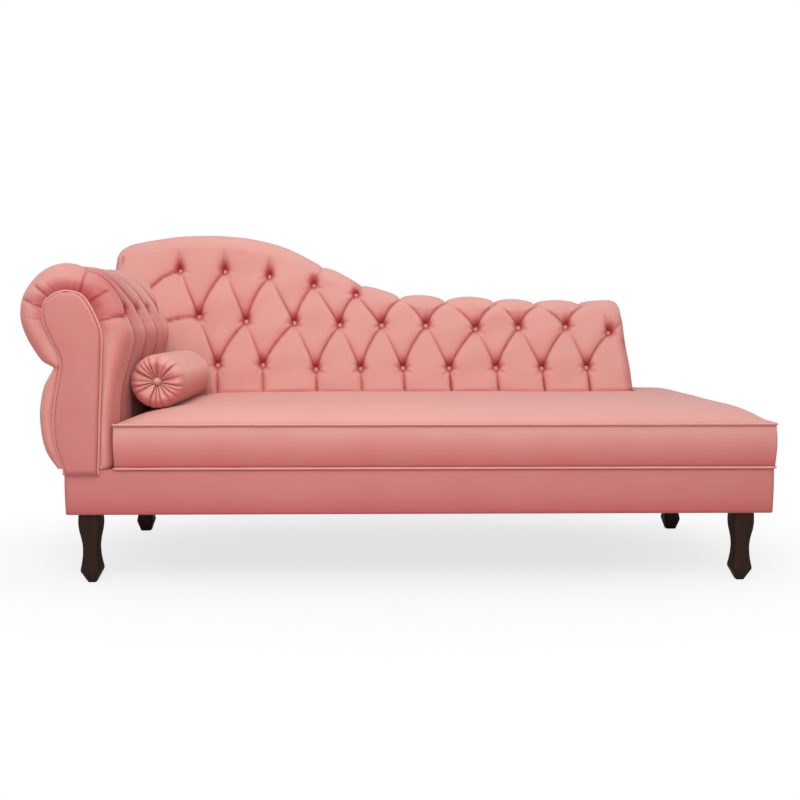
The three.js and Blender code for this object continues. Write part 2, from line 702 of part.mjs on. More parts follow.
function armTuft(s, place) {
  const y = place * armRear(seatTop);
  const along = (y - armButtonStart) / armButtonPitch;
  const above = (innerRowShare - s) / (innerRowShare - topRowShare);
  if (above > foldsEnd) return 0;
  const row = clamp(above, 0, 1);
  const lean = row / 2;
  const fade = clamp((foldsEnd - above) / foldsFade, 0, 1) * clamp((1 - s) / footFadeShare, 0, 1);
  return (1 - pillowAt(along, lean)) * fade * clamp(y / armButtonStart, 0, 1);
}

// Rings of the cover from front to rear, how full the padding is at the first ones, and where it
// begins to be drawn in towards the rear.
const armPlaceShares = [0, 0.04, 0.1, 0.2, 0.3, 0.4, 0.5, 0.6, 0.7, 0.8, 0.91, 1];
const frontDrawnShares = [0.75, 0.93];
const rearDrawStartShare = 0.8;
const stretcherShares = { top: [0.46, 0.79], middle: [0.58, 0.45], bottom: [0.56, 0] };

function buildArm() {
  const board = steps(armSteps).map((s) => armOutline(s, 0));
  const rearBoardFront = (z) => armRear(z) - boardThickness;
  const between = (points, frontAt, rearAt) => loft([inPlane(points, frontAt), inPlane(points, rearAt)]);
  add(couch, 'arm_front_board', between(board, () => gap, () => boardThickness), 'plywood');
  add(couch, 'arm_rear_board', between(board, rearBoardFront, armRear), 'plywood');
  Object.entries(stretcherShares).forEach(([name, [x, z]]) => {
    const [left, low] = [armX(x) - stretcherWidth / 2, armZ(z)];
    const [right, high] = [left + stretcherWidth, low + stretcherThickness];
    const section = [[left, low], [right, low], [right, high], [left, high]];
    const bar = between(section, () => boardThickness + gap, (h) => rearBoardFront(h) - gap);
    add(couch, `arm_stretcher_${name}`, bar, 'pine');
  });
  const linerInner = (s) => armOffset(s, gap);
  const linerOuter = (s) => armOffset(s, gap + linerThickness);
  const foamInner = (s) => armOffset(s, 2 * gap + linerThickness);
  const foamOuter = (s) => armOutline(s, foamShare);
  const start = armLip + gap;
  const tube = (inner, outer) => armSleeve([0, 1].map((place) => ({ place, start, inner, outer })));
  add(couch, 'arm_liner', tube(linerInner, linerOuter), 'plywood');
  add(couch, 'arm_foam', tube(foamInner, foamOuter), 'foam');
  const padded = (place, drawn) => (s) => {
    const depth = padCurve.getPoint(s).sub(boardCurve.getPoint(s)).length();
    const nearRear = clamp((place - rearDrawStartShare) / (1 - rearDrawStartShare), 0, 1) ** 2;
    const full = mix(drawn, rearDrawn(s), nearRear);
    return armOutline(s, full - (armTuftDepth / depth) * armTuft(s, place) * (1 - nearRear));
  };
  const sleeve = armPlaceShares.map((place, i) => {
    const drawn = frontDrawnShares[i] ?? 1;
    return { place, start: armLip, inner: (s) => armOutline(s, coverShare), outer: padded(place, drawn) };
  });
  const [lipInner, lipOuter] = lipShares.map((share) => (s) => armOutline(s, share));
  const lip = { place: 0, start: 0, inner: lipInner, outer: lipOuter };
  add(couch, 'arm_cover', armSleeve([lip, ...sleeve]), 'fabric');
  const rearPad = steps(armSteps).map((s) => armOutline(s, rearDrawn(s)));
  const facingFront = (z) => armRear(z) + gap;
  const rearFacing = between(rearPad, facingFront, (z) => facingFront(z) + rearFacingThickness);
  add(couch, 'arm_rear_facing', rearFacing, 'fabric');
}

// The front facing hangs a little over the base, with a welt round its edge. Its face is drawn
// in towards a middle point, less in height than across.
const facingShrinkShare = 0.03;
const facingHeightShare = 0.3;
const facingMiddleShares = [0.55, 0.5];

function buildArmFront() {
  const around = steps(armSteps);
  const low = baseTop - armDrop;
  const withFeet = (points) => {
    const [first, last] = [points[0], points[points.length - 1]];
    return [[first[0], low], ...points, [last[0], low]];
  };
  const inset = weltRadius + gap;
  const facing = withFeet(around.map((s) => armOffset(s, -inset)));
  const face = -gap - facingThickness;
  const rings = [[-gap, 0], [face + weltRadius, 0], [face, facingShrinkShare]];
  const [midX, midZ] = [armX(facingMiddleShares[0]), baseTop + armHeight * facingMiddleShares[1]];
  const solidRings = rings.map(([y, shrink]) => facing.map(([x, z]) => {
    return vec(mix(x, midX, shrink), y, mix(z, midZ, shrink * facingHeightShare));
  }));
  add(couch, 'arm_front_facing', loft(solidRings), 'fabric');
  const weltY = -gap - weltRadius - gap;
  const path = withFeet(around.map((s) => armOffset(s, 0))).map(([x, z]) => vec(x, weltY, z));
  add(couch, 'arm_front_welt', cord(path, weltRadius, vec(0, 1, 0)), 'fabric');
}

// Bolster

const bolster = new THREE.Group();

// The gathered end, from the eye out to the side: out as a share of the way to the side, and in
// from the end as a share of bolsterDimple.
const bolsterEndShares = [[0, 1], [0.16, 0.64], [0.4, 0.3], [0.68, 0], [0.88, 0.25], [0.98, 1], [1, 1.9]];

// The gathers are deepest where the radius to this power is half of the way to the side.
const gatherPower = 0.8;
const coreSides = 24;
const buttonSides = 16;
const buttonSeatShare = 0.65;
const buttonDomeShares = [[1, 0.25], [0.92, 0.55], [0.66, 0.88], [0.3, 1], [0, 1]];

// The profile runs from the front eye over the round to the rear eye and back inside.
function bolsterProfile() {
  const [r, half] = [bolsterDiameter / 2, bolsterLength / 2];
  const eye = bolsterEye / 2;
  const front = bolsterEndShares.map(([s, deep]) => [mix(eye, r, s), bolsterDimple * deep - half]);
  const rear = [...front].reverse().map(([radius, y]) => [radius, -y]);
  const coreRadius = r - bolsterSkin - gatherDepth;
  const coreHalf = half - bolsterDimple - bolsterSkin;
  const inside = [[eye, coreHalf], [coreRadius, coreHalf], [coreRadius, -coreHalf], [eye, -coreHalf]];
  return { outer: [...front, ...rear], inside, coreRadius, coreHalf };
}

function buildBolster() {
  const { outer, inside, coreRadius, coreHalf } = bolsterProfile();
  const profile = [...outer, ...inside, outer[0]].map(([radius, y]) => new THREE.Vector2(radius, y));
  const cover = new THREE.LatheGeometry(profile, 2 * gatherCount);
  const place = cover.getAttribute('position');
  const half = bolsterLength / 2;
  for (let i = 0; i < place.count; i += 1) {
    const [x, y, z] = [place.getX(i), place.getY(i), place.getZ(i)];
    const radius = Math.hypot(x, z);
    const near = clamp((Math.abs(y) - half + 2 * bolsterDimple) / bolsterDimple, 0, 1);
    const onEnd = near * Math.sin(Math.PI * clamp(radius / (bolsterDiameter / 2), 0, 1) ** gatherPower);
    const column = Math.round(Math.atan2(z, x) / Math.PI * gatherCount);
    const outside = Math.abs(y) > coreHalf + bolsterSkin / 2;
    if (column % 2 === 0 && outside) place.setY(i, y - Math.sign(y) * gatherDepth * onEnd);
  }
  cover.deleteAttribute('normal');
  cover.deleteAttribute('uv');
  add(bolster, 'bolster_cover', mergeVertices(cover), 'fabric');
  const filling = coreRadius - 2 * gap;
  const core = new THREE.CylinderGeometry(filling, filling, 2 * (coreHalf - gap), coreSides);
  add(bolster, 'bolster_core', core, 'foam');
  const r = bolsterButtonDiameter / 2;
  const shank = bolsterEye / 2 - gap;
  const seat = half - bolsterDimple * buttonSeatShare;
  const dome = buttonDomeShares.map(([wide, high]) => [r * wide, seat + bolsterButtonHeight * high]);
  const foot = [[0, coreHalf + gap], [shank, coreHalf + gap], [shank, seat], [r, seat]];
  const buttonProfile = [...foot, ...dome].map(([radius, y]) => new THREE.Vector2(radius, y));
  const button = new THREE.LatheGeometry(buttonProfile, buttonSides);
  add(bolster, 'bolster_button_rear', button, 'fabric');
  const frontButton = add(bolster, 'bolster_button_front', button.clone(), 'fabric');
  frontButton.rotation.z = Math.PI;
}

// The bolster lies along the arm, on the pad beside it. Its height is the least that clears the
// pad at a number of places across and along.
const restAcross = 24;
const restAlong = 8;

function placeBolster() {
  const x = seatLeft + bolsterFromSeatEdge;
  const radius = bolsterDiameter / 2;
  const rests = steps(restAcross).flatMap((s) => steps(restAlong).map((t) => {
    const dx = mix(-radius, radius, s);
    const under = Math.sqrt(Math.max(0, radius * radius - dx * dx));
    return seatHeight(x + dx, bolsterFront + t * bolsterLength) + under;
  }));
  bolster.position.set(x, bolsterFront + bolsterLength / 2, Math.max(...rests) + gap);
  couch.add(bolster);
}

buildBaseFrame();
buildLegFastening();
Object.entries(legPlaces).forEach(([name, [x, y]]) => buildLeg(name, x, y));
buildWebbing();
buildBaseCovers();
buildSeat();
buildBack();
buildArm();
buildArmFront();
buildBolster();
placeBolster();

// The origin is under the middle of the couch, on the floor.
couch.updateMatrixWorld(true);
const bounds = new THREE.Box3().setFromObject(couch, true);
const middle = bounds.getCenter(vec(0, 0, 0));
couch.position.set(-middle.x, -middle.y, -bounds.min.z);

export default couch;
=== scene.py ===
# %% [markdown]
# # A fainting couch in salmon velvet
# The couch has one rolled arm, a deep-buttoned back that falls away along its length, a crowned
# seat pad and a loose bolster. Its frame comes packed from CAD. Here every soft part is made as a
# surface worked out with numpy, and every finish as a small network of shader nodes.

# %% The frame
import json
import math

import bmesh
import bpy
import numpy as np
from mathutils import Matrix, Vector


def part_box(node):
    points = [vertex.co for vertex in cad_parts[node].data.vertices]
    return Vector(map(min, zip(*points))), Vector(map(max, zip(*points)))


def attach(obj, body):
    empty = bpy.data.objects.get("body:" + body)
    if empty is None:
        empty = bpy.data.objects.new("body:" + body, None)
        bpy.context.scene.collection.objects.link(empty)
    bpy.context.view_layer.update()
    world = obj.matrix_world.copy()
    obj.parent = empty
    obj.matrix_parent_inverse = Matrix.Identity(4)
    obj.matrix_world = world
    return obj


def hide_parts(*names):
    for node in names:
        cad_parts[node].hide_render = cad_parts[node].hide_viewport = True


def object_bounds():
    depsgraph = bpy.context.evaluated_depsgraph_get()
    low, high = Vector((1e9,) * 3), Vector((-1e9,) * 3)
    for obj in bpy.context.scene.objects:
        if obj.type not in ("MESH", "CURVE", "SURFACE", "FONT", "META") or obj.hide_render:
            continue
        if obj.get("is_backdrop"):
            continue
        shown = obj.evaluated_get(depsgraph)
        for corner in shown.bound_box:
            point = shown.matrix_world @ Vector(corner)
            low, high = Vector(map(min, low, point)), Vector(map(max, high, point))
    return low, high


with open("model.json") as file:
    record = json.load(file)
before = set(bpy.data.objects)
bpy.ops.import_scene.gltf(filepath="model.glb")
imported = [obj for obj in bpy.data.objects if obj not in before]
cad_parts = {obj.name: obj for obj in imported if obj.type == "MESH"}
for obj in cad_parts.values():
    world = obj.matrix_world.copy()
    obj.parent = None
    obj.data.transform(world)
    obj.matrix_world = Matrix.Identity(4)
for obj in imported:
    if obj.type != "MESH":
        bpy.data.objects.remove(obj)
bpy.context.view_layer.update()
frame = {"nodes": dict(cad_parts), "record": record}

# %% [markdown]
# ## Working places
# Sizes are easiest to read in millimetres from the lower front left corner of the base box, so
# shapes are worked out there: x along the couch, y towards its rear, z up. `placed` carries them
# into the frame, in metres.

# %% Working places
MM = 0.001
base_low = np.array(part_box("base_cover_front")[0])
ORIGIN = np.array([base_low[0], base_low[1], 0.0])


def placed(points):
    """Working millimetres to frame metres: times a thousandth, plus the base's corner."""
    return np.asarray(points, float) * MM + ORIGIN


def box_of(node):
    """A node's lowest and highest corner, in working millimetres."""
    low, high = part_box(node)
    return (np.array(low) - ORIGIN) / MM, (np.array(high) - ORIGIN) / MM


edge_low, edge_high = box_of("seat_edge_welt")
seam_low, seam_high = box_of("seat_seam_welt")
seat_low, seat_high = box_of("seat_cover")
BASE_LENGTH = box_of("base_cover_right")[1][0]
BASE_DEPTH = box_of("base_cover_rear")[1][1]
BASE_BOTTOM = box_of("base_cover_front")[0][2]
BASE_TOP = seam_high[2] / 2 + seam_low[2] / 2
SEAT_EDGE = (edge_low[2] + edge_high[2]) / 2
SEAT_LEFT, SEAT_RIGHT, SEAT_TOP = seat_low[0], seat_high[0], seat_high[2]
WELT_RADIUS = (edge_high[2] - edge_low[2]) / 2
print(f"base {BASE_LENGTH:.0f} x {BASE_DEPTH:.0f} mm, seat edge {SEAT_EDGE:.0f}, seat top {SEAT_TOP:.0f}")

# %% [markdown]
# ## Finishes
# Shader maths reads best as Python sums. `Wire` wraps a node's output, and each sign between two
# wires adds a Math node. `Network` makes any node from its type, settings and inputs. `Finish` is
# a network with a Principled shader: values that are the same all over are set on the shader
# itself, and only what varies is linked.

# %% Shader wires
class Wire:
    """A node's output. Sums, differences and products with wires and numbers add Math nodes."""

    def __init__(self, network, socket):
        self.network, self.socket = network, socket

    def maths(self, operation, first, second):
        """One Math node of two wires or numbers."""
        return self.network.node("ShaderNodeMath", {"operation": operation}, {0: first, 1: second})

    def __add__(self, other):
        return self.maths("ADD", self, other)

    def __mul__(self, other):
        return self.maths("MULTIPLY", self, other)

    def __sub__(self, other):
        return self.maths("SUBTRACT", self, other)

    def __rsub__(self, other):
        return self.maths("SUBTRACT", other, self)

    __radd__, __rmul__ = __add__, __mul__


def linear(red, green, blue):
    """A screen colour of 0 to 255 as linear light: the sRGB curve, then an alpha of 1."""
    shares = [value / 255 for value in (red, green, blue)]
    curve = [s / 12.92 if s <= 0.04045 else ((s + 0.055) / 1.055) ** 2.4 for s in shares]
    return (*curve, 1.0)


class Network:
    """The nodes of a material or of the world."""

    def __init__(self, tree):
        self.tree = tree

    def node(self, kind, settings=None, inputs=None, output=0):
        """One node: its settings first, then the values or links of its sockets."""
        made = self.tree.nodes.new(kind)
        for key, value in (settings or {}).items():
            if key == "stops":
                for stop in range(2, len(value)):
                    made.color_ramp.elements.new(stop / len(value))
                for element, (place, colour) in zip(made.color_ramp.elements, value):
                    element.position, element.color = place, colour
            else:
                setattr(made, key, value)
        for key, value in (inputs or {}).items():
            if isinstance(value, Wire):
                self.tree.links.new(value.socket, made.inputs[key])
            else:
                made.inputs[key].default_value = value
        return Wire(self, made.outputs[output])


class Finish(Network):
    """A material whose Principled shader has fixed values and a few linked sockets."""

    def __init__(self, name, **fixed):
        self.material = bpy.data.materials.new(name)
        self.material.use_nodes = True
        super().__init__(self.material.node_tree)
        self.shader = self.tree.nodes["Principled BSDF"]
        for socket, value in fixed.items():
            self.shader.inputs[socket.replace("_", " ")].default_value = value

    def feed(self, socket, wire):
        """Links a wire to a socket of the shader."""
        self.tree.links.new(wire.socket, self.shader.inputs[socket])

    def place(self, scale=(1, 1, 1)):
        """Object coordinates, stretched by scale along each axis."""
        raw = self.node("ShaderNodeTexCoord", output="Object")
        return self.node("ShaderNodeMapping", inputs={"Vector": raw, "Scale": scale})

    def attribute(self, name):
        """A value that each point of the mesh carries."""
        return self.node("ShaderNodeAttribute", {"attribute_name": name}, output="Fac")

    def noise(self, where, scale, detail=2.0, rough=0.5):
        """Soft noise of 0 to 1, with finer noise added on top as detail rises."""
        inputs = {"Vector": where, "Scale": scale, "Detail": detail, "Roughness": rough}
        return self.node("ShaderNodeTexNoise", inputs=inputs)

    def cells(self, where, scale):
        """The distance to the nearest of many scattered points."""
        return self.node("ShaderNodeTexVoronoi", inputs={"Vector": where, "Scale": scale})

    def blend(self, share, first, second):
        """Two colours mixed by a share."""
        return self.node("ShaderNodeMix", {"data_type": "RGBA"}, {0: share, 6: first, 7: second}, output=2)

    def ramp(self, share, *stops):
        """A colour for each share, between stops of a place and a colour."""
        return self.node("ShaderNodeValToRGB", {"stops": stops}, {"Fac": share})

    def bump(self, height, strength, distance):
        """Tilts the shading by the slope of a height, as if it stood distance metres proud."""
        inputs = {"Height": height, "Strength": strength, "Distance": distance}
        self.feed("Normal", self.node("ShaderNodeBump", inputs=inputs))


print("finishes are made by", Finish.__name__)

# %% [markdown]
# ### Velvet
# The cover is a short, dense, suede-like velvet. Its nap lies a little differently from place to
# place, so the colour drifts in soft patches a hand wide, with fine mottling inside them. Pieces
# may carry a `fold` attribute of painted shade. It is high in folds, pockets and seams, under welts
# and towards the bottom, where shade falls, and there the finish blends the colour towards a deep
# red. A second attribute, `nap`, is painted light and shade by facing: faces that turn up
# are painted paler, and those that turn down or along the couch darker. The pile itself is a very
# fine bump, and sheen gives the bloom at grazing angles.

# %% Velvet
def velvet():
    """Painted light by facing and the drift choose the tone from a ramp, the fold attribute's painted
    shade deepens it, and the pile adds a fine grain."""
    finish = Finish("velvet", Sheen_Weight=0.35, Sheen_Roughness=0.5, Sheen_Tint=linear(255, 226, 220),
                    Specular_IOR_Level=0.25)
    where = finish.place()
    patches = finish.noise(where, scale=6.0, detail=3.0)
    mottle = finish.noise(where, scale=90.0, detail=3.0, rough=0.6)
    pile = finish.noise(where, scale=1500.0, rough=0.6)
    drift = patches * 0.8 + mottle * 0.2
    # Painted light and shade by facing, with the drift's own tone on top. The ramp holds lit and shaded
    # copies of the cloth's colour.
    painted_lightness = finish.attribute("nap") * 0.9 + (drift - 0.5) * 0.4 + 0.05
    cloth = finish.ramp(painted_lightness, (0.12, linear(203, 120, 114)), (0.5, linear(214, 146, 139)),
                        (0.72, linear(219, 161, 153)), (1.0, linear(212, 155, 147)))
    # Painted shade: the fold attribute blends the colour towards a deep red where shade falls.
    deep = finish.blend(finish.attribute("fold"), cloth, linear(166, 40, 54))
    finish.feed("Base Color", finish.blend(pile * 0.1, deep, linear(190, 100, 96)))
    finish.feed("Roughness", mottle * 0.1 + 0.8)
    finish.bump(pile * 0.7 + mottle * 0.4, strength=0.25, distance=0.0005)
    return finish.material


print("velvet is ready")

# %% [markdown]
# ### Wood
# The legs are beech stained to a dark walnut and sealed in satin lacquer, so the grain is faint
# and runs up the leg. The frame inside is bare pine, and the scroll boards are birch plywood. All
# three come from one idea: noise stretched along the grain, sharpened by a ramp.

# %% Wood
def wood(name, dark, pale, grain, roughness, lacquer=0.0):
    """Wood with its grain along the axis that has the smallest number in grain."""
    finish = Finish(name, Coat_Weight=lacquer, Coat_Roughness=0.22, Specular_IOR_Level=0.2)
    where = finish.place(grain)
    rings = finish.noise(where, scale=9.0, detail=5.0, rough=0.62)
    pores = finish.noise(where, scale=60.0, detail=3.0, rough=0.7)
    share = rings * 0.75 + pores * 0.25
    finish.feed("Base Color", finish.ramp(share, (0.3, dark), (0.5, pale), (0.72, dark)))
    finish.feed("Roughness", pores * 0.2 + (roughness - 0.1))
    finish.bump(pores * 0.5 + rings * 0.5, strength=0.18, distance=0.0008)
    return finish.material


print("wood is ready")

# %% [markdown]
# ### What lies inside
# Foam is a pale open sponge, webbing a woven strap, the dust cover a black pressed cloth, and the
# leg plates and bolts are zinc-plated steel. Most of it only shows from below, but each has its
# own finish, because the part may be opened up or seen from underneath.

# %% Foam, webbing, dust cloth and steel
def foam():
    """Cells for the pores, over a slow yellowing."""
    finish = Finish("foam", Roughness=0.95)
    where = finish.place()
    pores = finish.cells(where, 700.0)
    share = pores * 0.5 + finish.noise(where, scale=12.0, detail=3.0) * 0.5
    tones = (0.3, linear(226, 212, 158)), (0.7, linear(240, 230, 184))
    finish.feed("Base Color", finish.ramp(share, *tones))
    finish.bump(pores, strength=0.5, distance=0.0012)
    return finish.material


def webbing():
    """Two sets of waves that cross; the higher of the two is the strand on top."""
    finish = Finish("webbing", Roughness=0.9)
    where = finish.place()
    along, across = [
        finish.node("ShaderNodeTexWave", {"bands_direction": axis}, {"Vector": where, "Scale": scale})
        for axis, scale in (("Y", 95.0), ("X", 60.0))]
    weave = along.maths("MAXIMUM", along, across)
    finish.feed("Base Color", finish.ramp(weave, (0.2, linear(48, 46, 44)), (0.9, linear(96, 92, 86))))
    finish.bump(weave, strength=0.6, distance=0.0008)
    return finish.material


def dust_cloth():
    """Fine noise for the fibres, and cells where they were pressed flat."""
    finish = Finish("dust_cloth", Roughness=0.93)
    where = finish.place()
    fibres = finish.noise(where, scale=420.0, detail=5.0, rough=0.75)
    pressed = finish.cells(where, 260.0)
    share = fibres * 0.7 + pressed * 0.3
    finish.feed("Base Color", finish.ramp(share, (0.35, linear(16, 16, 17)), (0.7, linear(42, 41, 42))))
    finish.bump(fibres * 0.4 + pressed * 0.6, strength=0.4, distance=0.0006)
    return finish.material


def steel():
    """The spangle of the zinc as cells, under scratches drawn out along one axis."""
    finish = Finish("steel", Metallic=1.0)
    spangle = finish.cells(finish.place(), 180.0)
    scratches = finish.noise(finish.place((1.0, 18.0, 1.0)), scale=90.0, detail=4.0, rough=0.7)
    share = spangle * 0.5 + scratches * 0.5
    tones = (0.2, linear(150, 154, 158)), (0.8, linear(196, 199, 202))
    finish.feed("Base Color", finish.ramp(share, *tones))
    finish.feed("Roughness", scratches * 0.25 + 0.25)
    finish.bump(scratches, strength=0.1, distance=0.0002)
    return finish.material


print("foam, webbing, dust cloth and steel are ready")

# %% One finish for each slot
GRAIN_UP = (6.0, 6.0, 0.7)
GRAIN_ALONG = (0.5, 6.0, 6.0)
FINISHES = {
    "upholstery": velvet(),
    "walnut": wood("walnut", linear(24, 9, 4), linear(46, 22, 10), GRAIN_UP, 0.55, lacquer=0.03),
    "pine": wood("pine", linear(190, 146, 88), linear(222, 184, 128), GRAIN_ALONG, 0.72),
    "plywood": wood("plywood", linear(178, 138, 88), linear(204, 166, 114), (1.0, 8.0, 1.0), 0.78),
    "foam": foam(),
    "webbing": webbing(),
    "dust_cloth": dust_cloth(),
    "steel": steel(),
}
for part in frame["record"]["subparts"]:
    cad_mesh = frame["nodes"][part["node"]].data
    cad_mesh.materials.clear()
    cad_mesh.materials.append(FINISHES[part["material_slot"]])
print("finishes", sorted(FINISHES))

# %% [markdown]
# ## Making a piece from a grid
# A grid of points with a first and a second direction becomes quads, or triangles where the
# diagonal matters, as along a pleat. `backed` gives a panel walls towards its rear. `piece` merges
# what touches, closes what is open, turns the faces outwards, hangs the piece on the body it rides
# on and hides the CAD nodes it stands for.

# %% Grids and pieces
def grid_faces(columns, rows, rising=None):
    """Faces of a grid of columns by rows points, numbered down each column. Where rising is given,
    each cell is cut in two along its rising diagonal, or its falling one where rising is false."""
    corner = (np.arange(columns - 1)[:, None] * rows + np.arange(rows - 1)[None, :]).ravel()
    a, b, c, d = corner, corner + rows, corner + rows + 1, corner + 1
    if rising is None:
        return np.stack([a, b, c, d], 1).tolist()
    up = rising.ravel()[:, None]
    first = np.where(up, np.stack([a, b, c], 1), np.stack([a, b, d], 1))
    second = np.where(up, np.stack([a, c, d], 1), np.stack([b, c, d], 1))
    return np.concatenate([first, second]).tolist()


def loop_of(columns, rows):
    """The numbers of a grid's border points, once round."""
    at = np.arange(columns * rows).reshape(columns, rows)
    return np.concatenate([at[:, 0], at[-1, 1:], at[-2::-1, -1], at[0, -2:0:-1]])


def walls(loop, layers, start):
    """Quads from a border loop through layers of as many points, whose numbers begin at start."""
    count = len(loop)
    rings = [np.asarray(loop)] + [start + k * count + np.arange(count) for k in range(len(layers))]
    quads = [np.stack([u, np.roll(u, -1), np.roll(v, -1), v], 1) for u, v in zip(rings, rings[1:])]
    return np.concatenate(quads).tolist()


def backed(grid, rear, shares=(1.0,), rising=None):
    """A panel with walls: its grid, then its border carried back to a rear by each of the shares.
    Gives the points and the faces."""
    loop = loop_of(*grid.shape[:2])
    points = grid.reshape(-1, 3)
    layers = []
    for share in shares:
        ring = points[loop]
        ring[:, 1] = ring[:, 1] * (1 - share) + rear * share
        layers.append(ring)
    faces = grid_faces(*grid.shape[:2], rising) + walls(loop, layers, len(points))
    return np.concatenate([points] + layers), faces


def unit(values):
    """Values kept between 0 and 1."""
    return np.clip(values, 0, 1)


def paint_light_by_facing(mesh):
    """Writes painted light and shade by facing: 0 on slopes that turn down, a half on upright
    faces, 1 on those that turn up, and less on faces that look along the couch."""
    normals = np.empty(len(mesh.vertices) * 3, np.float32)
    mesh.vertices.foreach_get("normal", normals)
    along, _, up = normals.reshape(-1, 3).T
    # Painted light: the share rises as the face turns up and falls as it turns along the couch.
    turn = unit(up + 0.5 - 0.3 * np.abs(along))
    nap = mesh.attributes.get("nap") or mesh.attributes.new("nap", "FLOAT", "POINT")
    nap.data.foreach_set("value", (turn * turn * (3 - 2 * turn)).astype(np.float32))


def piece(name, points, faces=None, stands_for=(), body="couch", slot="upholstery", fold=None):
    """A finished piece: merged, closed, facing outwards, in place and riding on its body. Where no
    faces are given, points is a grid. fold is painted shade: one tone for all, or a tone for each point."""
    faces = faces or grid_faces(*points.shape[:2])
    points = placed(points).reshape(-1, 3)
    mesh = bpy.data.meshes.new(name)
    mesh.from_pydata(points.tolist(), [], faces)
    # Painted shade: the fold tones are written on the mesh for the velvet to darken by.
    if fold is not None:
        tones = np.broadcast_to(np.ravel(fold), len(points))
        deep = mesh.attributes.new("fold", "FLOAT", "POINT")
        deep.data.foreach_set("value", unit(tones).astype(np.float32))
    work = bmesh.new()
    work.from_mesh(mesh)
    bmesh.ops.remove_doubles(work, verts=work.verts, dist=0.00001)
    edges = [e for e in work.edges if e.is_boundary]
    if edges:
        bmesh.ops.holes_fill(work, edges=edges, sides=0)
    bmesh.ops.recalc_face_normals(work, faces=work.faces)
    work.to_mesh(mesh)
    work.free()
    # Painted light and shade by which way each face turns.
    paint_light_by_facing(mesh)
    mesh.polygons.foreach_set("use_smooth", [True] * len(mesh.polygons))
    mesh.materials.append(FINISHES[slot])
    made = bpy.data.objects.new(name, mesh)
    bpy.context.scene.collection.objects.link(made)
    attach(made, body)
    if stands_for:
        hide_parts(*stands_for)
    return made


def triangles(made):
    """A face of n corners counts as n - 2 triangles."""
    return sum(len(p.vertices) - 2 for p in made.data.polygons)


def spread(count, start=0.0, end=1.0, crowd="none"):
    """count + 1 numbers from start to end, crowded towards one or both ends by a sine."""
    t = np.linspace(0, 1, count + 1)
    if crowd == "end":
        t = np.sin(t * math.pi / 2)
    elif crowd == "start":
        t = 1 - np.cos(t * math.pi / 2)
    elif crowd == "both":
        t = (1 - np.cos(t * math.pi)) / 2
    return start + (end - start) * t


def smooth_line(table, at):
    """A smooth curve through a table of points, read at many places: a cubic between each pair,
    with the slope at a point taken from its two neighbours."""
    table = np.asarray(table, float)
    x, y = table[:, 0], table[:, 1]
    slope = np.gradient(y, x)
    at = np.clip(at, x[0], x[-1])
    i = np.clip(np.searchsorted(x, at) - 1, 0, len(x) - 2)
    width = x[i + 1] - x[i]
    t = (at - x[i]) / width
    rise = t * t * (3 - 2 * t)
    bend = slope[i] * width * t * (1 - t) ** 2 - slope[i + 1] * width * t * t * (1 - t)
    return y[i] + (y[i + 1] - y[i]) * rise + bend


def ripple(u, v, size, seed):
    """Soft unevenness between -1 and 1: six slow waves whose directions and phases come from a
    seeded draw, with a wavelength of about size."""
    draw = np.random.default_rng(seed)
    angle, phase = draw.uniform(0, math.tau, (2, 6))
    pace = math.tau / size * draw.uniform(0.6, 1.5, 6)
    waves = [np.sin(k * (u * math.cos(a) + v * math.sin(a)) + p) for k, a, p in zip(pace, angle, phase)]
    return sum(waves) / 6 * 1.6


# %% [markdown]
# ### Pleats
# Deep buttoning is a sheet held down at points and folded along lines between them. A pleat is a
# line of points with a strength at each end. Near it the padding rounds down into a valley, most
# of it close by and a little further off, and right on it the cloth is tucked into a narrow cut.
# Valleys of several pleats are joined by multiplying how much of the padding each one leaves,
# which rounds their meeting places.

# %% Pleats
class Pleats:
    """Valleys and cuts along lines, worked out for many points of a flat pattern at once."""

    def __init__(self, u, v, reach, cut_reach):
        self.u, self.v = u, v
        self.reach, self.cut_reach = reach, cut_reach
        self.left = np.ones_like(u)
        self.cut = np.zeros_like(u)

    def fold(self, line, valley=(1, 1), cut=(1, 1), reach=1.0):
        """Adds a pleat along a line of points. Its strengths change evenly from first to last."""
        line = np.asarray(line, float)
        steps = np.diff(line, axis=0)
        lengths = np.hypot(*steps.T)
        total = lengths.sum()
        travelled = 0.0
        near = np.full(self.u.shape, 1e9)
        share = np.zeros_like(self.u)
        for (x0, y0), (dx, dy), length in zip(line, steps, lengths):
            along = unit(((self.u - x0) * dx + (self.v - y0) * dy) / length**2)
            gap = np.hypot(self.u - x0 - along * dx, self.v - y0 - along * dy)
            closer = gap < near
            near = np.where(closer, gap, near)
            share = np.where(closer, (travelled + along * length) / total, share)
            travelled += length
        deep = valley[0] + (valley[1] - valley[0]) * share
        sharp = cut[0] + (cut[1] - cut[0]) * share
        close_by = np.exp(-(near / (self.reach * reach)) ** 1.1)
        further_off = np.exp(-near / (4 * self.reach))
        self.left *= 1 - deep * (0.75 * close_by + 0.25 * further_off)
        self.cut = np.maximum(self.cut, sharp * np.exp(-near / self.cut_reach))

    def depth(self, valley, cut):
        """How deep each point lies: the valley's share that is gone, plus the cut."""
        return valley * (1 - self.left) + cut * self.cut


def arc(start, end, bow, count=8):
    """Points from start to end on a shallow curve that stands off its chord by bow at the middle."""
    start, end = np.asarray(start, float), np.asarray(end, float)
    t = np.linspace(0, 1, count + 1)[:, None]
    chord = end - start
    normal = np.array([-chord[1], chord[0]]) / np.hypot(*chord)
    return start + chord * t + normal * bow * 4 * t * (1 - t)


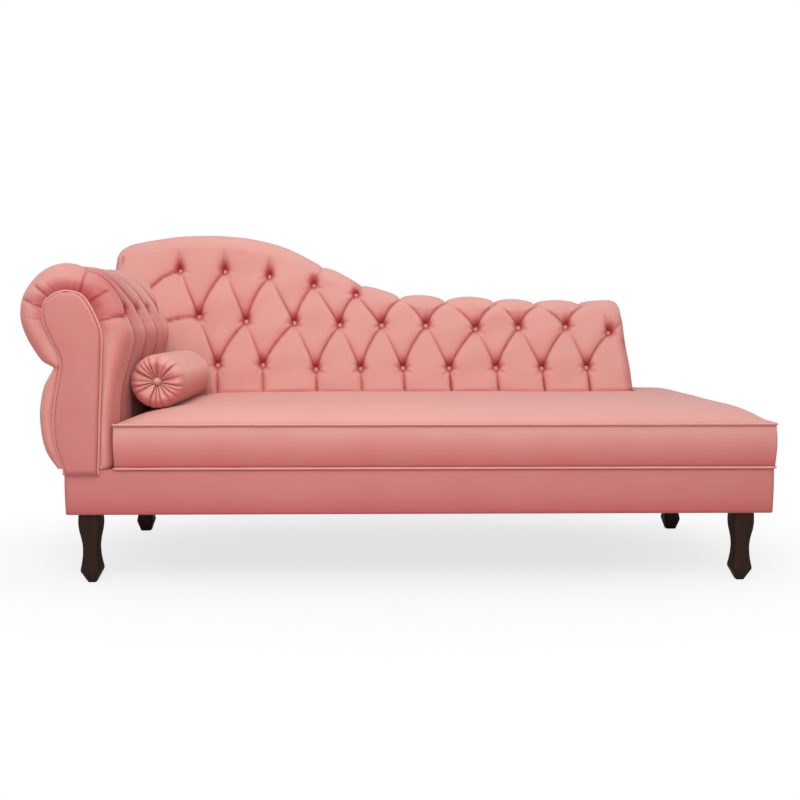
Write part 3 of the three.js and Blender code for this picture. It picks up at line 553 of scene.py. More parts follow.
def dimple(u, v, places, reach, above=1.0, below=1.15):
    """Pockets at places: a bell of the distance, drawn out upwards by above and steeper by below
    on the lower side, where the padding comes up close to the button; narrow from side to side."""
    deepest = np.zeros_like(u)
    for x, z in places:
        rise = np.where(v > z, (v - z) / above, (v - z) * below)
        away = np.hypot((u - x) * 1.2, rise)
        deepest = np.maximum(deepest, np.exp(-(away / reach) ** 1.6))
    return deepest


PUCKER_RING, PUCKER_WIDTH = 17, 10


def puckers(u, v, places, seed):
    """Small folds that run out of each button: a ring of waves that dies away within two
    button widths, with a different start for each button."""
    draw = np.random.default_rng(seed)
    total = np.zeros_like(u)
    for x, z in places:
        away = np.hypot(u - x, v - z)
        around = np.arctan2(v - z, u - x)
        wave = np.cos(draw.integers(5, 8) * around + draw.uniform(0, math.tau))
        total += wave * np.exp(-((away - PUCKER_RING) / PUCKER_WIDTH) ** 2)
    return total


print("pleats, dimples and puckers are ready")

# %% [markdown]
# ## The buttoned back
# Three rows of covered buttons hold the cover down. The middle row has ten; the lower row has nine,
# half a pitch aside; the upper row has five, and further along the pleats run over the top edge,
# where each one pulls a notch into it. The upholsterer set the buttons by hand, so the pitch
# wanders by some millimetres, and the places below keep that.

# %% Places of the back's buttons
UPPER_ROW = [(171, 794), (304, 792), (437, 777), (569, 751), (695, 723)]
MIDDLE_ROW = [(228, 657), (368, 643), (512, 639), (647, 633), (772, 632),
              (904, 631), (1053, 621), (1181, 625), (1323, 627), (1452, 610)]
LOWER_ROW = [(284, 514), (418, 514), (576, 501), (709, 503), (835, 505),
             (973, 504), (1113, 505), (1250, 503), (1384, 506)]
NOTCHES = [827, 964, 1113, 1236, 1372]
PULLS = [(592, 0.3), (711, 0.45)] + [(place, 1.0) for place in NOTCHES]
NOTCH_DIP, NOTCH_REACH = 13.0, 28.0
CREST = [(-22, 832), (-14, 848), (6, 863), (53, 876), (148, 892), (244, 897), (339, 892), (435, 875),
         (530, 840), (592, 808), (640, 789), (676, 772), (711, 756), (765, 738), (840, 726), (914, 719),
         (1045, 717), (1182, 709), (1307, 706), (1440, 705), (1466, 702), (1481, 692), (1490, 674),
         (1535, 640)]
(BACK_LEFT, _, _), (BACK_RIGHT, _, _) = box_of("back_cover")
BACK_FRONT, BACK_REAR = 510.0, box_of("back_rear_cover")[0][1]
RECLINE = math.tan(math.radians(8))
END_SLOPE = 0.14
buttons = UPPER_ROW + MIDDLE_ROW + LOWER_ROW
print("buttons", len(buttons))


def notch_pull(x):
    """How strongly the top edge is drawn down at x: a pointed bell at each notch, less where the
    pleat comes from a button of the upper row."""
    bells = [strength * np.exp(-np.abs(x - place) / NOTCH_REACH) for place, strength in PULLS]
    return np.max(bells, axis=0)


def crest(x):
    """Height of the back's top edge: a smooth line over the pillows, drawn down at the pleats."""
    return smooth_line(CREST, x) - NOTCH_DIP * notch_pull(x)


def back_face(z):
    """How far back the pillows' plane stands at a height: it leans by eight degrees."""
    return BACK_FRONT + (z - SEAT_TOP) * RECLINE


def back_end(z):
    """Where the back ends at a height: the open end leans in as it rises."""
    return BACK_RIGHT - END_SLOPE * np.maximum(z - SEAT_EDGE, 0)


# %% [markdown]
# The grid follows the lattice: 22 columns of cells, one for each half pitch, and rows of cells
# from seat to lower buttons, to middle buttons, to upper buttons or notches, and to the top edge.
# Each cell is cut into as many steps across as up, so every pleat runs along the cells' diagonals
# and stays a clean line.

# %% The back's lattice
FINE, HALF_PITCHES = 26, 22
BANDS = [4, FINE, FINE, FINE, 20]
EDGE_BAND, TOP_BAND = 3, 4
FIRST_NOTCH_COLUMN = 12
HIDDEN_LINE, NOTCH_DROP, SEAT_SLANT = 425.0, 3.0, 10
fine_columns = np.concatenate([spread(FINE, 0, 1, "start")[:-1]]
                              + [spread(FINE, m, m + 1)[:-1] for m in range(1, HALF_PITCHES - 1)]
                              + [spread(FINE, HALF_PITCHES - 1, HALF_PITCHES, "end")])


def row_through(left_end, places, right_end, first_column):
    """x and z of a row at every fine column. Its places stand at every second column from
    first_column; the columns between lie halfway, and the ends are given."""
    columns = [0] + [first_column + 2 * k for k in range(len(places))] + [HALF_PITCHES]
    xs, zs = zip(left_end, *places, right_end)
    return np.interp(fine_columns, columns, xs), np.interp(fine_columns, columns, zs)


tops = UPPER_ROW + [(x, float(crest(x)) - NOTCH_DROP) for x in NOTCHES]
low_x, low_z = row_through((BACK_LEFT, 512), [(150, 512)] + LOWER_ROW, (back_end(506), 506), 2)
mid_x, mid_z = row_through((BACK_LEFT, 660), [(95, 655)] + MIDDLE_ROW, (back_end(610), 612), 1)
high_x, high_z = row_through((BACK_LEFT, 790), tops, (back_end(680), 680), 2)
on_edge = unit(fine_columns - (FIRST_NOTCH_COLUMN - 1))
high_z = high_z + (crest(high_x) - NOTCH_DROP - high_z) * on_edge
seat_slant = np.interp(low_x, [LOWER_ROW[0][0], LOWER_ROW[-1][0]], [0, SEAT_SLANT])
rows_x = [low_x + seat_slant, low_x + seat_slant, low_x, mid_x, high_x, high_x]
rows_z = [np.full_like(low_x, BASE_TOP + 0.3), np.full_like(low_x, HIDDEN_LINE), low_z, mid_z, high_z,
          crest(high_x)]
print("columns", len(fine_columns), "rows", sum(BANDS) + 1)

# %% The back's flat pattern
pattern_u, pattern_v, rising_cells = [], [], []
even_column = np.floor(fine_columns[:-1] + 1e-6).astype(int) % 2 == 0
for band, steps in enumerate(BANDS):
    up = spread(steps)[None, :]
    rounded = spread(steps, crowd="end")[None, :]
    curl = {EDGE_BAND: on_edge[:, None], TOP_BAND: 1.0}.get(band, 0.0)
    share = up + (rounded - up) * curl
    keep = slice(None) if band == TOP_BAND else slice(0, -1)
    for pattern, rows in ((pattern_u, rows_x), (pattern_v, rows_z)):
        band_points = rows[band][:, None] + (rows[band + 1] - rows[band])[:, None] * share
        pattern.append(band_points[:, keep])
    rising_cells.append(np.repeat((even_column == (band == 2))[:, None], steps, 1))
u = np.concatenate(pattern_u, 1)
v = np.concatenate(pattern_v, 1)
rising = np.concatenate(rising_cells, 1)
print("pattern", u.shape, "rising cells", int(rising.sum()))

# %% [markdown]
# Pleats that rise to the right are crisp all the way and bow a little to the left; those that
# rise to the left are crisp at their lower button and fade towards the upper one, because the
# cloth was folded from one side. From each lower button a pleat drops straight behind the seat.
# Left of the first buttons two long folds sweep down to the arm.

# %% The back's pleats
pleats = Pleats(u, v, 8.0, 1.8)
FADING = {"valley": (1.0, 0.12), "cut": (1.1, 0.0)}
CRISP = {"valley": (1.0, 0.8), "cut": (1.1, 0.9)}
LOWER_BOW, UPPER_BOW, TOP_BOW = 7.5, 9, -6
DROP_FOOT, DROP_LEAN = 430, 9
DROPS = [2.1, 1.7, 2.1, 1.4, 1.9, 3.0, 1.6, 2.4, 2.8]
SINGLE_FOLDS = [
    ([(171, 794), (150, 786), (121, 773), (92, 748), (60, 700)], (0.9, 0.7), (0.9, 1.1), 0.7),
    ([(228, 657), (205, 655), (172, 652), (129, 641), (60, 615)], (0.9, 0.8), (0.8, 1.1), 0.7),
    ([(1452, 610), (1470, 622), (1488, 643)], (0.9, 0), (0.8, 0.25), 1.0),
    ([(1452, 610), (1441, 634), (1433, 668)], (0.8, 0.1), (0.6, 0), 1.0),
    ([(1492, 585), (1504, 545)], (0.25, 0.1), (0.7, 0.2), 0.4),
    ([(4, 834), (0, 806)], (0.3, 0.3), (0.9, 0.6), 0.4),
    ([(569, 751), (580, 774), (592, 798), (598, 822)], (0.85, 0.8), (0.4, 0.3), 0.8),
    ([(695, 723), (703, 736), (711, 746), (715, 766)], (0.85, 0.7), (0.4, 0.3), 0.8),
]
for k, low in enumerate(LOWER_ROW):
    pleats.fold(arc(low, MIDDLE_ROW[k + 1], LOWER_BOW), **CRISP)
    pleats.fold(arc(low, MIDDLE_ROW[k], 0), **FADING)
    foot = low[0] + DROP_LEAN * low[0] / LOWER_ROW[-1][0], DROP_FOOT
    pleats.fold([low, foot], valley=(0.7, 1.0), cut=(0.5, DROPS[k]))
for k, middle in enumerate(MIDDLE_ROW[:-1]):
    pleats.fold(arc(middle, tops[k + 1], UPPER_BOW), **CRISP)
    pleats.fold(arc(middle, tops[k], TOP_BOW if k >= len(UPPER_ROW) else 0), **FADING)
for x in NOTCHES:
    top = float(crest(x))
    pleats.fold([(x, top - NOTCH_DROP), (x, top + 2)], valley=(0.9, 0.9), cut=(0.8, 0.8))
for line, valley, cut, reach in SINGLE_FOLDS:
    pleats.fold(line, valley, cut, reach)
for k, (x, z) in enumerate(UPPER_ROW[:3]):
    room = float(crest(x)) - z
    lean = -4 + 3 * k
    pleats.fold([(x - 2, z), (x - 2 + lean, z + 0.72 * room)], valley=(0.8, 0), cut=(0.5, 0), reach=0.7)
    pleats.fold([(x + 4, z), (x + 9 + lean, z + 0.55 * room)], valley=(0.5, 0), cut=(0.4, 0), reach=0.4)
print("padding left at the deepest point", round(float(pleats.left.min()), 3))

# %% [markdown]
# Now the flat pattern becomes the pad. The padding's plane leans back; within one rim of the top
# and of the ends it rounds off on a quarter circle. The depth of pleats and pockets is then taken
# along the surface's own direction, so a pleat that crosses the top edge notches the outline.

# %% The back's shape
RIM, LEFT_RIM_SHARE, RIM_POWER = 36.0, 0.8, 1.25
PROUD, VALLEY, CUT, POCKET, PUCKER, UNEVEN = 5.0, 7.0, 5.0, 19.0, 0.9, 1.2
# Painted shade: tones for the cuts, the pockets, a halo round each pocket, the valleys and the open end.
CUT_SHADE, POCKET_SHADE, HALO_SHADE, VALLEY_SHADE = 0.75, 1.3, 0.3, 0.05
POCKET_REACH, HALO_SHADE_REACH = 11.5, 17.0
END_SHADE, END_WIDTH, END_FOOT = 0.3, 32, 640


def rounded_edge(distance, radius):
    """How far a face has turned at a distance from its edge: 0 away from it, 1 on it, starting
    gently."""
    return (1 - unit(distance / radius)) ** RIM_POWER


def back_surface(u, v, depth):
    """A point of the pattern, pushed in by depth along the face's own direction. The direction
    turns from forward to outward as the edges come near; the turn of a quarter circle."""
    to_top = rounded_edge(crest(u) - v, RIM)
    to_right = rounded_edge(back_end(v) - u, RIM)
    to_left = rounded_edge(u - BACK_LEFT, RIM * LEFT_RIM_SHARE)
    turn = unit(np.sqrt(to_top**2 + to_right**2 + to_left**2))
    back = RIM * (1 - np.sqrt(unit(1 - turn**2)))
    outward = np.stack([to_right - to_left, np.zeros_like(u), to_top], -1)
    size = np.maximum(np.linalg.norm(outward, axis=-1, keepdims=True), 1e-6)
    facing = np.sqrt(unit(1 - turn**2))[..., None]
    normal = outward / size * turn[..., None] + np.array([0, -1, RECLINE]) * facing
    normal /= np.linalg.norm(normal, axis=-1, keepdims=True)
    base = np.stack([u, back_face(v) + back, v], -1)
    return base - normal * depth[..., None]


pocket = dimple(u, v, [(x, z + 2) for x, z in buttons], POCKET_REACH, above=1.5, below=1.3)
# A wider pocket that only sets where painted shade halos each button.
pocket_halo_shade = dimple(u, v, [(x, z + 6) for x, z in buttons], HALO_SHADE_REACH, above=1.7, below=0.9)
depth = pleats.depth(VALLEY, CUT) + POCKET * pocket - PROUD
depth += PUCKER * puckers(u, v, buttons, seed=3) + UNEVEN * ripple(u, v, 150, seed=5)
depth *= 1 - unit((HIDDEN_LINE + 20 - v) / 20)
face = back_surface(u, v, depth)
# Painted shade along the open end, whose face turns away from the light.
end_shade = END_SHADE * unit(1 - (back_end(v) - u) / END_WIDTH) * unit((END_FOOT - v) / 40)
# Painted shade where shade falls: in the cuts, the pockets and the halo round them, and in the valleys.
back_shade = CUT_SHADE * pleats.cut + POCKET_SHADE * pocket + HALO_SHADE * pocket_halo_shade
back_shade = unit(back_shade + VALLEY_SHADE * (1 - pleats.left) + end_shade)
WALL_SHARES = (0.25, 0.5, 0.75, 0.93, 1.0)
points, faces = backed(face, BACK_REAR - 0.5, WALL_SHARES, rising)
# The walls carry six tenths of the painted shade at their border.
wall_shade = np.tile(back_shade.ravel()[loop_of(*u.shape)] * 0.6, len(WALL_SHARES))
fold = np.concatenate([back_shade.ravel(), wall_shade])
back = piece("back_padded_cover", points, faces, ["back_cover"], fold=fold)
print("back", triangles(back), "triangles")

# %% [markdown]
# ### Covered buttons
# Each button is a metal shell with the same velvet pressed over it: a low dome whose edge tucks
# under, with a few faint creases running to its rim. The profile is turned about its axis, and the
# axis stands square to the padding where the button sits.

# %% Covered buttons
BUTTON_DIAMETER, BUTTON_HEIGHT = 20.0, 8.5
BUTTON_PROFILE = [(0.02, 1.0), (0.25, 0.98), (0.5, 0.9), (0.72, 0.74), (0.88, 0.5), (0.97, 0.25),
                  (1.0, 0.02), (0.93, -0.2), (0.7, -0.3), (0.02, -0.3)]


def button(name, centre, direction, seed, diameter=BUTTON_DIAMETER, height=BUTTON_HEIGHT, **rest):
    """A dome turned about direction. Radius and height follow the profile; near the rim the
    cloth has shallow creases, a wave of nine round the button."""
    around = np.linspace(0, math.tau, 29)[:-1]
    radii, heights = np.array(BUTTON_PROFILE).T
    draw = np.random.default_rng(seed)
    crease = 1 + 0.022 * np.cos(9 * around + draw.uniform(0, math.tau))[:, None] * radii[None, :]
    radius = diameter / 2 * radii[None, :] * crease
    axis = np.asarray(direction, float) / np.linalg.norm(direction)
    side = np.cross(axis, [0.0, 0.0, 1.0] if abs(axis[2]) < 0.9 else [1.0, 0.0, 0.0])
    side /= np.linalg.norm(side)
    other = np.cross(axis, side)
    ring = np.cos(around)[:, None, None] * side + np.sin(around)[:, None, None] * other
    points = np.asarray(centre) + ring * radius[..., None] + (height * heights)[None, :, None] * axis
    piece(name, np.concatenate([points, points[:1]]), **rest)


FORWARD = np.array([0.0, -1.0, RECLINE])
# Painted shade: the buttons sit deep in their pockets, so their colour is a little darker.
BUTTON_DEPTH, BUTTON_SHADE = 22.0, 0.12
for row, places in (("upper", UPPER_ROW), ("middle", MIDDLE_ROW), ("lower", LOWER_ROW)):
    for k, (x, z) in enumerate(places):
        centre = back_surface(*np.array([[x], [z], [BUTTON_DEPTH]], float))[0]
        button(f"back_button_{row}_{k + 1:02d}", centre, FORWARD, seed=k, fold=BUTTON_SHADE)
print("back buttons", len(buttons))

# %% [markdown]
# ### The outside of the back
# Behind the padding a plain cloth panel is stapled to the posts and closes the back. It is taut,
# with a faint crown, and its edge turns in just inside the padded rim. Its outline is the top
# edge again, so both covers meet all along.

# %% The outside of the back
REAR_INSET, SLIDE_FROM = 4.0, 1300
TAUT_RISE, TAUT_REACH, STAPLE_PITCH = 1.6, 60, 18
OUTSIDE_WIDTH, OUTSIDE_HEIGHT = 1500, 500


def rear_outline(u_share, v_share):
    """The back's outline drawn in a little: along by u_share, up by v_share. Towards the open end
    the points slide in with the end's slope."""
    bottom = BASE_TOP + 0.5
    x = BACK_LEFT + REAR_INSET + (BACK_RIGHT - BACK_LEFT - 2 * REAR_INSET) * u_share
    top = crest(x) - REAR_INSET * 1.2 - 3
    z = bottom + (top - bottom) * v_share
    near_end = unit((x - SLIDE_FROM) / (BACK_RIGHT - SLIDE_FROM))
    return x - near_end * END_SLOPE * np.maximum(z - SEAT_EDGE, 0), z


across, up = np.meshgrid(spread(220), spread(60, crowd="both"), indexing="ij")
x, z = rear_outline(across, up)
edge = np.minimum(np.minimum(across, 1 - across) * OUTSIDE_WIDTH, np.minimum(up, 1 - up) * OUTSIDE_HEIGHT)
taut = TAUT_RISE * np.sqrt(unit(edge / TAUT_REACH)) + 0.5 * ripple(x, z, 260, seed=8)
staples = 0.5 * np.cos(x / STAPLE_PITCH) * np.exp(-edge / 12)
turned_in = 2.2 * np.exp(-edge / 2.5)
outside = np.stack([x, BASE_DEPTH - TAUT_RISE + taut + staples - turned_in, z], -1)
outside_cover = piece("back_outside_cover", *backed(outside, BACK_REAR + 0.3), ["back_rear_cover"])
print("outside of the back", triangles(outside_cover), "triangles")

# %% [markdown]
# ## Welts
# A welt is a cord in a bias strip of the same velvet, sewn into a seam. It is a round section
# carried along a path, with a slight wobble because the strip never lies quite even.

# %% Welts
WELT_SIDES, WOBBLE = 14, 0.05
LEFT_CORNER, RIGHT_CORNER, WELT_PROUD = 4.0, 5.0, 2.0


def carried(path):
    """The welt's round section carried along a path. At each point the section stands square to
    the path, turned as little as possible from the point before; the radius varies slowly."""
    ahead = np.gradient(path, axis=0)
    ahead /= np.linalg.norm(ahead, axis=1, keepdims=True)
    side = np.cross(ahead[0], [0.0, 0.0, 1.0])
    if np.linalg.norm(side) < 0.1:
        side = np.cross(ahead[0], [1.0, 0.0, 0.0])
    sides = []
    for direction in ahead:
        side = side - direction * side.dot(direction)
        side /= np.linalg.norm(side)
        sides.append(side)
    side = np.array(sides)
    other = np.cross(ahead, side)
    travelled = np.concatenate([[0], np.cumsum(np.linalg.norm(np.diff(path, axis=0), axis=1))])
    angle = np.linspace(0, math.tau, WELT_SIDES + 1)[:-1]
    ring = np.cos(angle)[None, :, None] * side[:, None] + np.sin(angle)[None, :, None] * other[:, None]
    size = WELT_RADIUS * (1 + WOBBLE * np.sin(travelled / 23 + 2 * np.sin(travelled / 61)))
    points = path[:, None] + ring * size[:, None, None]
    return np.concatenate([points, points[:, :1]], 1)


def resampled(path, step):
    """The same path with points about step apart."""
    path = np.asarray(path, float)
    length = np.concatenate([[0], np.cumsum(np.linalg.norm(np.diff(path, axis=0), axis=1))])
    at = np.linspace(0, length[-1], int(length[-1] / step) + 1)
    return np.stack([np.interp(at, length, path[:, k]) for k in range(3)], 1)


def seat_path(z):
    """Along the front of the seat: from beside the arm round the left corner, along the front,
    round the right corner and back to the rear."""
    turn = np.linspace(0, math.pi / 2, 9)
    short, long = 1 - np.cos(turn), 1 - np.sin(turn)
    left = np.stack([SEAT_LEFT + LEFT_CORNER * short, LEFT_CORNER * long - WELT_PROUD], 1)
    right = np.stack([SEAT_RIGHT - RIGHT_CORNER * long, RIGHT_CORNER * short - WELT_PROUD], 1)
    flat = np.concatenate([left, right, [[SEAT_RIGHT, BASE_DEPTH - 8]]])
    return resampled(np.column_stack([flat, np.full(len(flat), z)]), 4.0)


for name, z in (("seat_edge_welt", SEAT_EDGE), ("seat_seam_welt", BASE_TOP)):
    piece(name + "_cord", carried(seat_path(z)), stands_for=[name])
print("welts, radius", round(float(WELT_RADIUS), 1))

# %% [markdown]
# ## The seat pad
# One crowned pad, wider in the middle than at its welts. It rises quickly from the edge, as foam
# does under a tight cover, and is nearly level over most of its width. Beside the arm it rises
# more slowly. Its border stands between two welts and bellies out a little. Behind the end of the
# back the pad goes on to the rear of the base, so seen from above it has the shape of an L.

# %% The seat pad
FRONT_REACH, RIGHT_REACH, LEFT_REACH = 150.0, 150.0, 300.0
NOTCH_X, ARM_SIDE_END = BACK_RIGHT + 0.6, 600
BELLY, BELLY_RAISE, RIGHT_BELLY_SHARE = 6.0, -1.5, 0.3
SEAT_UNEVEN, GATHER_HEIGHT, GATHER_PITCH, GATHER_REACH = 1.1, 0.7, 9.5, 22
# Painted shade: the border darker all over, more by its welts and towards its foot.
BORDER_SHADE, WELT_SHADE, LOW_BORDER_SHADE = 0.15, 0.8, 0.36


def seat_height(x, y):
    """Height of the pad: the edge's height plus the crown, times three rises. Each rise goes from
    0 at an edge to 1 at its reach, as one minus a cube."""
    def rise(distance, reach):
        return 1 - (1 - unit(distance / reach)) ** 3
    across = rise(x - SEAT_LEFT, LEFT_REACH) * rise(SEAT_RIGHT - x, RIGHT_REACH)
    return SEAT_EDGE + (SEAT_TOP - SEAT_EDGE) * across * rise(y, FRONT_REACH)


arm_side = spread(90, SEAT_LEFT, ARM_SIDE_END, "start")[:-1]
middle = spread(120, ARM_SIDE_END, NOTCH_X)[:-1]
open_side = spread(44, NOTCH_X, SEAT_RIGHT, "end")
seat_x = np.concatenate([arm_side, middle, open_side])
notch_column = len(arm_side) + len(middle)
seat_front = spread(70, 0, 1, "start")
seat_rear = spread(22, 1, 2)[1:]
seat_rows = np.concatenate([seat_front, seat_rear])
notch_row = len(seat_front) - 1
x = np.repeat(seat_x[:, None], len(seat_rows), 1)
meeting = back_face(SEAT_TOP) + 1.5
y = np.where(seat_rows <= 1, seat_rows * meeting, meeting + (seat_rows - 1) * (BASE_DEPTH - meeting))
y = np.repeat(y[None, :], len(seat_x), 0)
edge = np.minimum(np.minimum(x - SEAT_LEFT, SEAT_RIGHT - x), y)
z = seat_height(x, y) + SEAT_UNEVEN * ripple(x, y, 330, seed=12) * unit(edge / 120)
uneven_wave = np.cos(x / GATHER_PITCH + 2 * np.sin(x / 70))
gathers = GATHER_HEIGHT * uneven_wave * np.exp(-y / GATHER_REACH) * unit(y / 4)
z = np.maximum(z + gathers, SEAT_EDGE)


def round_corners(points):
    """Rounds the two front corners in plan. In a corner's square, a point's offsets from the far
    corner are scaled by their larger one over their length, which turns the square into a
    quarter disc."""
    rounded = points.copy()
    for corner, radius, side in ((SEAT_LEFT, LEFT_CORNER, 1), (SEAT_RIGHT, RIGHT_CORNER, -1)):
        a = np.maximum(radius - side * (points[..., 0] - corner), 0)
        b = np.maximum(radius - points[..., 1], 0)
        scale = np.maximum(a, b) / np.maximum(np.hypot(a, b), 1e-9)
        inside = (a > 0) & (b > 0)
        rounded[..., 0] = np.where(inside, corner + side * (radius - a * scale), rounded[..., 0])
        rounded[..., 1] = np.where(inside, radius - b * scale, rounded[..., 1])
    return rounded


top = np.stack([x, y, z], -1)
at = np.arange(x.size).reshape(x.shape)
loop = np.concatenate([at[:, 0], at[-1, 1:], at[-2:notch_column - 1:-1, -1],
                       at[notch_column, -2:notch_row - 1:-1], at[notch_column - 1::-1, notch_row],
                       at[0, notch_row - 1:0:-1]])
kept = np.ones((x.shape[0] - 1, x.shape[1] - 1), bool)
kept[:notch_column, notch_row:] = False
edge_points = top.reshape(-1, 3)[loop]
layers = []
# Painted shade on the top close to its edge, by the welt.
painted_shade = [np.exp(-edge.ravel() / 3) * 0.6]
for share in spread(22, 0, 1, "both")[1:]:
    ring = edge_points.copy()
    ring[:, 2] = ring[:, 2] + (BASE_TOP + 0.5 - ring[:, 2]) * share
    uneven = 0.5 * ripple(ring[:, 0], ring[:, 2], 180, seed=4)
    belly = BELLY * math.sin(math.pi * share**0.85) + BELLY_RAISE + uneven
    ring[:, 1] -= belly * np.exp(-edge_points[:, 1] / 3)
    ring[:, 0] += RIGHT_BELLY_SHARE * belly * np.exp(-(SEAT_RIGHT - edge_points[:, 0]) / 3)
    layers.append(ring)
    height = min(share, 1 - share) * (SEAT_EDGE - BASE_TOP)
    # Painted shade for this ring of the border.
    painted_shade_tone = BORDER_SHADE + WELT_SHADE * math.exp(-height / 3) + LOW_BORDER_SHADE * share**2
    painted_shade.append(np.full(len(ring), painted_shade_tone))
points = round_corners(np.concatenate([top.reshape(-1, 3)] + layers))
faces = np.concatenate([np.array(grid_faces(*x.shape))[kept.ravel()], walls(loop, layers, x.size)])
used, renumbered = np.unique(faces, return_inverse=True)
seat = piece("seat_padded_cover", points[used], renumbered.reshape(-1, 4).tolist(), ["seat_cover"],
             fold=np.concatenate(painted_shade)[used])
print("seat", triangles(seat), "triangles")

# %% [markdown]
# ## The base
# The base box is wrapped in one strip of velvet over thin wadding, folded round its corners and
# turned under at the bottom edge, where it is stapled beside the dust cover.

# %% The base
CORNER, UNDER, TUCK, BASE_BELLY = 7.0, 18.0, -4.0, 1.2
# Painted shade: the band darker all over, more under the seam welt and towards the bottom.
BASE_SHADE, UNDER_SEAM_SHADE, FOOT_SHADE = 0.39, 0.45, 0.34


def rounded_rectangle(length, depth, radius, step):
    """A rectangle's outline with round corners, as a closed run of points."""
    centres = [(length - radius, radius), (length - radius, depth - radius), (radius, depth - radius),
               (radius, radius)]
    run = []
    for quarter, centre in enumerate(centres):
        angle = np.radians(90 * (quarter - 1) + np.linspace(0, 90, 9))
        run.append(np.array(centre) + radius * np.stack([np.cos(angle), np.sin(angle)], 1))
    run = np.concatenate(run + [run[0][:1]])
    return resampled(np.column_stack([run, np.zeros(len(run))]), step)[:-1, :2]


outline = rounded_rectangle(BASE_LENGTH, BASE_DEPTH, CORNER, 6.0)
outward = outline - np.roll(outline, 1, 0)
outward = outward + np.roll(outward, -1, 0)
outward = np.stack([outward[:, 1], -outward[:, 0]], 1)
outward /= np.linalg.norm(outward, axis=1, keepdims=True)
section = [(-UNDER, BASE_BOTTOM + 0.4), (-8, BASE_BOTTOM + 0.2), (-3, BASE_BOTTOM),
           (-0.9, BASE_BOTTOM + 0.9), (0, BASE_BOTTOM + 3)]
section += [(BASE_BELLY * math.sin(math.pi * s), BASE_BOTTOM + 3 + (BASE_TOP - BASE_BOTTOM - 4) * s)
            for s in np.linspace(0.05, 1, 14)]
outer_points = len(section)
section += [(TUCK, BASE_TOP - 0.8), (TUCK, BASE_BOTTOM + 30), (-UNDER, BASE_BOTTOM + 3)]
out, height = np.array(section).T
waves = 0.6 * ripple(outline[:, 0] + outline[:, 1], outline[:, 1] * 0, 240, seed=9)
shown = np.sin(np.linspace(0, math.pi, len(section)))
shown[0], shown[outer_points:] = 0, 0
bulge = out[None, :] + waves[:, None] * shown[None, :]
band_xy = outline[:, None, :] + outward[:, None, :] * bulge[..., None]
band = np.concatenate([band_xy, np.repeat(height[None, :, None], len(outline), 0)], -1)
band = np.concatenate([band, band[:1]])
band = np.concatenate([band, band[:, :1]], 1)
base_names = [f"base_cover_{side}" for side in ("front", "right", "rear", "left")]
# Painted shade under the seam welt and towards the foot.
under_seam_shade = UNDER_SEAM_SHADE * np.exp(-np.abs(band[..., 2] - BASE_TOP) / 4)
painted_shade = BASE_SHADE + under_seam_shade + FOOT_SHADE * np.exp(-(band[..., 2] - BASE_BOTTOM) / 28)
base = piece("base_wrapped_cover", band, stands_for=base_names, fold=painted_shade)
print("base", triangles(base), "triangles")

# %% [markdown]
# ## The rolled arm
# A scroll board gives the arm its outline, and padding rolls over it. Both outlines are smooth
# curves through a few points, as shares of the arm's width and height: first across and up for the
# board, then for the padding. Along the outline the curve runs from the outer foot over the roll
# to the inner foot.

# %% The arm's outlines
ARM_LEFT, ARM_WIDTH, ARM_HEIGHT = box_of("arm_cover")[0][0], 264.0, 500.0
ARM_OUTLINE = [
    (0.39, 0, 0.3, 0), (0.35, 0.06, 0.23, 0.06), (0.32, 0.13, 0.18, 0.13), (0.31, 0.21, 0.16, 0.21),
    (0.32, 0.29, 0.16, 0.29), (0.35, 0.38, 0.19, 0.39), (0.39, 0.49, 0.25, 0.48), (0.38, 0.55, 0.17, 0.53),
    (0.33, 0.61, 0.08, 0.61), (0.27, 0.68, 0.02, 0.69), (0.24, 0.74, 0, 0.75), (0.26, 0.8, 0.02, 0.83),
    (0.31, 0.83, 0.11, 0.91), (0.375, 0.85, 0.24, 0.97), (0.455, 0.86, 0.42, 1), (0.535, 0.855, 0.59, 0.99),
    (0.61, 0.84, 0.74, 0.96), (0.675, 0.8, 0.845, 0.9), (0.73, 0.745, 0.93, 0.81), (0.77, 0.69, 0.98, 0.72),
    (0.79, 0.63, 1, 0.64), (0.78, 0.52, 0.945, 0.53), (0.765, 0.38, 0.875, 0.41), (0.75, 0.26, 0.845, 0.3),
    (0.74, 0.14, 0.825, 0.17), (0.725, 0, 0.82, 0),
]
BOARD_SHIFT, ARM_LIFT = 0.02, 0.6
knots = np.linspace(0, 1, len(ARM_OUTLINE))
board_x, board_z, pad_x, pad_z = np.array(ARM_OUTLINE).T
board_x = board_x - BOARD_SHIFT * unit((knots - 0.5) / 0.2)


def outline_at(s, out):
    """A point across and up: s along the outline, out from the board's edge (0) to the padding (1)."""
    columns = [smooth_line(np.column_stack([knots, c]), s) for c in (board_x, board_z, pad_x, pad_z)]
    x = columns[0] + (columns[2] - columns[0]) * out
    z = columns[1] + (columns[3] - columns[1]) * out
    return ARM_LEFT + ARM_WIDTH * x, BASE_TOP + ARM_LIFT + (ARM_HEIGHT - ARM_LIFT) * np.maximum(z, 0)


def arm_rear(z):
    """The arm runs back to the leaning face of the back."""
    return back_face(z) - 3.6


print("arm from", round(float(ARM_LEFT)), "to", round(float(ARM_LEFT + ARM_WIDTH)))

# %% [markdown]
# The padding turns round the front edge of the scroll board, close to a quarter ellipse, and runs
# back to the buttoned back. Where roll and body meet on the outside it is pinched in. Unrolled,
# its pattern is the length along the outline by the depth. Four buttons hold it on the inner side
# and three along the top; slanting pleats join them, straight folds run down from the inner row,
# and short folds fan out round the front, where the cloth has to be gathered in to follow the
# small curve of the board. Near the back the roll is drawn in a little.

